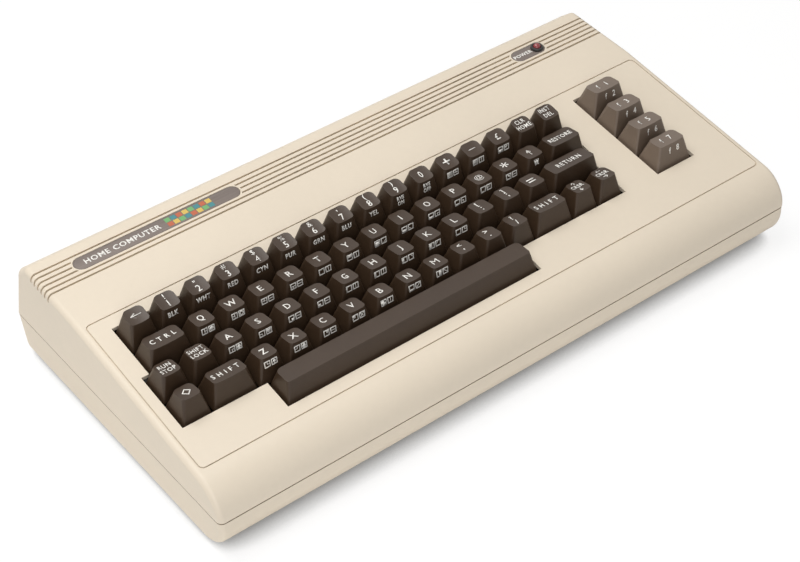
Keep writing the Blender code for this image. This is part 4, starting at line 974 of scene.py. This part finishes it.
for node, centre_y in (("control_port_front", -0.055962), ("control_port_rear", -0.018962)):
    body = block(node + "_block", (-0.017, -0.0155, -0.00625), (-0.006, 0.0155, 0.00625))
    body.data.materials.append(black_finish)
    eased(body, 0.0005)
    shell = slanted_block("shell", -0.0063, 0, 0.0180, 0.0092, 0.0022)
    cut(shell, slanted_block("mouth", -0.0055, 0.002, 0.0164, 0.0076, 0.0016))
    shell.data.materials.append(tin_finish)
    eased(shell, 0.0001)
    made = [body, shell]
    for count, side in ((5, 0.5), (4, -0.5)):
        for index in range(count):
            y = (index - (count - 1) / 2) * 0.00276
            pin = rod("pin", (-0.0035, y, side * 0.00284), "X", 0.0005, 0.0046, 12)
            bpy.ops.object.mode_set(mode="EDIT")
            choose("FACE", lambda normal, spots: normal.x > 0.9)
            bpy.ops.mesh.inset(thickness=0.0002)
            bpy.ops.transform.translate(value=(0.0002, 0, 0))
            bpy.ops.object.mode_set(mode="OBJECT")
            bpy.ops.object.shade_smooth_by_angle(angle=math.radians(50))
            pin.data.materials.append(pin_finish)
            made.append(pin)
    port = joined(*made)
    port.name = node + "_detailed"
    place_in(Matrix.Translation((0.198901, centre_y, 0.02255)), port)
    dress(port, "case", "black_plastic", node)

# Power switch.
# A black block with a deep pocket, in which a waisted rocker turns on an upright pin. Raised ribs on
# the rocker's two wings give the finger a hold.
switch_place = Vector((0.198901, 0.012038, 0.0253))
body = block("power_switch_housing", (-0.016, -0.013, -0.009), (0, 0.013, 0.009))
body.data.materials.append(black_finish)
pocket = block("pocket", (-0.010, -0.0103, -0.0058), (0.003, 0.0103, 0.0058))
bore = rod("bore", (-0.0045, 0, 0), "Z", 0.0018, 0.0136, 24)
cut(body, pocket, bore)
eased(body, 0.0004)
place_in(Matrix.Translation(switch_place), body)
dress(body, "case", "black_plastic", "power_switch_body")

half_swing = math.radians(10.0)
wing = (0.010 - 0.0045 * math.sin(half_swing)) / math.cos(half_swing)
rocker = block("power_rocker_lever", (0, -wing, -0.0055), (0.0045, wing, 0.0055))
bpy.ops.object.mode_set(mode="EDIT")
bpy.ops.mesh.select_all(action="SELECT")
bpy.ops.mesh.bisect(plane_co=(0, 0, 0), plane_no=(0, 1, 0))
choose("VERT", lambda spots: near(spots[0].y, 0) and near(spots[0].x, 0.0045))
bpy.ops.transform.translate(value=(-0.0018, 0, 0))
choose("VERT", lambda spots: near(spots[0].y, 0) and near(spots[0].x, 0))
bpy.ops.transform.translate(value=(-0.0027, 0, 0))
bpy.ops.object.mode_set(mode="OBJECT")
for side in (-1, 1):
    for step in range(3):
        y = side * (wing - 0.0020 - step * 0.0013)
        face_x = 0.0027 + 0.0018 * abs(y) / wing
        cut(rocker, block("rib_line", (face_x - 0.00035, y - 0.00025, -0.0045), (0.006, y + 0.00025, 0.0045)))
pin = rod("rocker_pin", (0, 0, 0), "Z", 0.0015, 0.013, 24)
cut(rocker, pin, operation="UNION")
rocker.data.materials.append(black_finish)
eased(rocker, 0.0003)
place_in(Matrix.Translation((0.194401, 0.012038, 0.0253)) @ Matrix.Rotation(half_swing, 4, "Z"), rocker)
dress(rocker, "power_rocker", "black_plastic", "power_switch_rocker")

# Modulator and cartridge socket.
# A can folded from tinned steel with a lid, the round aerial socket and the slot of the channel
# switch in its rear wall. Beside it, set deep in the case, is the long black cartridge socket.
can = block("modulator_can", (-0.020, -0.055, 0), (0.020, 0, 0.020))
bpy.ops.object.mode_set(mode="EDIT")
choose("FACE", lambda normal, spots: normal.z > 0.9)
bpy.ops.mesh.inset(thickness=0.0025)
bpy.ops.transform.translate(value=(0, 0, -0.0004))
choose("FACE", lambda normal, spots: normal.z < -0.9)
bpy.ops.mesh.delete(type="FACE")
bpy.ops.object.mode_set(mode="OBJECT")
finish_with(can, "SOLIDIFY", thickness=0.001, offset=-1, use_even_offset=True)
cut(can, block("slot", (0.007, -0.003, 0.00845), (0.013, 0.002, 0.01155)))
can.data.materials.append(tin_finish)
eased(can, 0.0003)
barrel = turned("aerial_barrel", [(0.0016, 0.0066), (0.0018, 0.008), (0.0040, 0.008), (0.0043, 0.0077),
                                  (0.0043, -0.0008), (0.0016, -0.0008)])
take(barrel)
barrel.rotation_euler = (-math.pi / 2, 0, 0)
barrel.location = (-0.008, 0, 0.010)
bpy.ops.object.transform_apply(location=True, rotation=True)
barrel.data.materials.append(tin_finish)
can = joined(can, barrel)
place_in(Matrix.Translation((0.078001, 0.093162, 0.0163)), can)
dress(can, "case", "tinned_metal", "rf_modulator_box")

knob = block("channel_switch_slider", (-0.0035, -0.003, 0.0065), (0.0035, -0.0013, 0.0135))
cut(knob, block("knob", (-0.00125, -0.002, 0.00875), (0.00125, 0.005, 0.01125)), operation="UNION")
knob.data.materials.append(black_finish)
eased(knob, 0.0002)
place_in(Matrix.Translation((0.086501, 0.093162, 0.0163)), knob)
dress(knob, "channel_slider", "black_plastic", "channel_switch")

cartridge = block("cartridge_edge_socket", (-0.033, -0.012, 0), (0.033, 0, 0.014))
mouth = block("mouth", (-0.029, -0.008, 0.0055), (0.029, 0.003, 0.0085))
cut(cartridge, mouth)
cartridge.data.materials.append(black_finish)
eased(cartridge, 0.0004)
contacts = []
for index in range(22):
    x = -0.0266 + index * 0.002536
    contact = block("contact", (x - 0.0006, -0.0078, 0.0079), (x + 0.0006, -0.0006, 0.0084))
    bpy.ops.object.mode_set(mode="EDIT")
    choose("EDGE", lambda spots: near(spots[0].y, -0.0006) and near(spots[1].y, -0.0006)
           and near(spots[0].z, 0.0079) and near(spots[1].z, 0.0079))
    bpy.ops.mesh.bevel(offset=0.0003, segments=2, affect="EDGES")
    bpy.ops.object.mode_set(mode="OBJECT")
    contact.data.materials.append(pin_finish)
    contacts.append(contact)
cartridge = joined(cartridge, *contacts)
place_in(Matrix.Translation((0.137001, 0.067162, 0.0163)), cartridge)
dress(cartridge, "case", "black_plastic", "cartridge_socket")

# Feet and case screws.
# Four round rubber feet are pressed into recesses of the lower case, and three cross-headed steel
# screws along the front hold the two shells together.
rubber_finish = moulded_plastic("dark_rubber", (0.022, 0.021, 0.020), 0.8, mottle=0.2, grain=0.0008,
                                grain_depth=0.00006, sheen=0.2)
for node, (x, y) in foot_places.items():
    foot = turned(node + "_pad", [(0, 0.0003), (0.0030, 0.0003), (0.0036, 0), (0.0062, 0), (0.0067, 0.0002),
                                  (0.0070, 0.0007), (0.0070, 0.0027), (0, 0.0027)])
    foot.data.materials.append(rubber_finish)
    place_in(Matrix.Translation((x, y, 0)), foot)
    dress(foot, "case", "rubber_feet", node)
for node, (x, y) in zip(("case_screw_left", "case_screw_middle", "case_screw_right"), screw_places):
    screw = turned(node + "_steel", [(0, 0.0062), (0.0018, 0.0062), (0.0027, 0.0066), (0.0030, 0.0074),
                                     (0.0030, 0.0082), (0.0014, 0.0082), (0.0014, 0.0355), (0, 0.0368)], 32)
    for size in ((0.0018, 0.00035), (0.00035, 0.0018)):
        cut(screw, block("slot", (-size[0], -size[1], 0.0055), (size[0], size[1], 0.0072)))
    screw.data.materials.append(tin_finish)
    take(screw)
    bpy.ops.object.shade_smooth_by_angle(angle=math.radians(32))
    place_in(Matrix.Translation((x, y, 0)), screw)
    dress(screw, "case", "tinned_metal", node)

# Boards and the keyboard frame.
# The solid model's own pieces stay here: the green main board with its black chips, the brown
# keyboard board, and the black ribbed frame that carries the keys. Gilt fingers lie on both faces of
# the two tongues that the main board puts out through the rear wall.
board_top, tongue_end = 0.016, 0.104162
board_finish = moulded_plastic("green_board_resin", (0.035, 0.13, 0.055), 0.35, mottle=0.25, grain=0.0012,
                               grain_depth=0.00002)
nodes, links = board_finish.node_tree.nodes, board_finish.node_tree.links
place = next(node for node in nodes if node.type == "TEX_COORD")
parts = nodes.new("ShaderNodeSeparateXYZ")
above = nodes.new("ShaderNodeMath")
above.operation = "GREATER_THAN"
above.inputs[1].default_value = board_top + 0.0001
either = nodes.new("ShaderNodeMix")
either.data_type = "RGBA"
either.inputs["B"].default_value = (0.015, 0.015, 0.016, 1)
shader = nodes["Principled BSDF"]
green = shader.inputs["Base Color"].links[0].from_socket
links.new(place.outputs["Object"], parts.inputs["Vector"])
links.new(parts.outputs["Z"], above.inputs[0])
links.new(above.outputs[0], either.inputs["Factor"])
links.new(green, either.inputs["A"])
links.new(either.outputs["Result"], shader.inputs["Base Color"])
brown_board_finish = moulded_plastic("brown_keyboard_board", (0.19, 0.10, 0.045), 0.5, mottle=0.15,
                                     grain=0.0010)
for name, finish in (("main_board", board_finish), ("keyboard_circuit_board", brown_board_finish),
                     ("keyboard_frame", black_finish)):
    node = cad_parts[name]
    node.data.materials.clear()
    node.data.materials.append(finish)

fingers = []
for centre_x, count in ((-0.039999, 6), (-0.117999, 12)):
    for low, high in ((board_top, board_top + 0.00006), (0.01434, 0.0144)):
        row = block("edge_fingers", (centre_x - 0.0012, tongue_end - 0.0075, low),
                    (centre_x + 0.0012, tongue_end - 0.0003, high))
        bpy.ops.object.mode_set(mode="EDIT")
        choose("EDGE", lambda spots: near(spots[0].x, spots[1].x) and near(spots[0].y, spots[1].y))
        bpy.ops.mesh.bevel(offset=0.0004, segments=2, affect="EDGES")
        bpy.ops.mesh.select_all(action="SELECT")
        bpy.ops.transform.translate(value=(-0.00396 * (count - 1) / 2, 0, 0))
        bpy.ops.object.mode_set(mode="OBJECT")
        finish_with(row, "ARRAY", count=count, use_relative_offset=False, use_constant_offset=True,
                    constant_offset_displace=(0.00396, 0, 0))
        row.data.materials.append(pin_finish)
        fingers.append(row)
fingers = joined(*fingers)
fingers.name = "edge_fingers"
dress(fingers, "case", "tinned_metal")
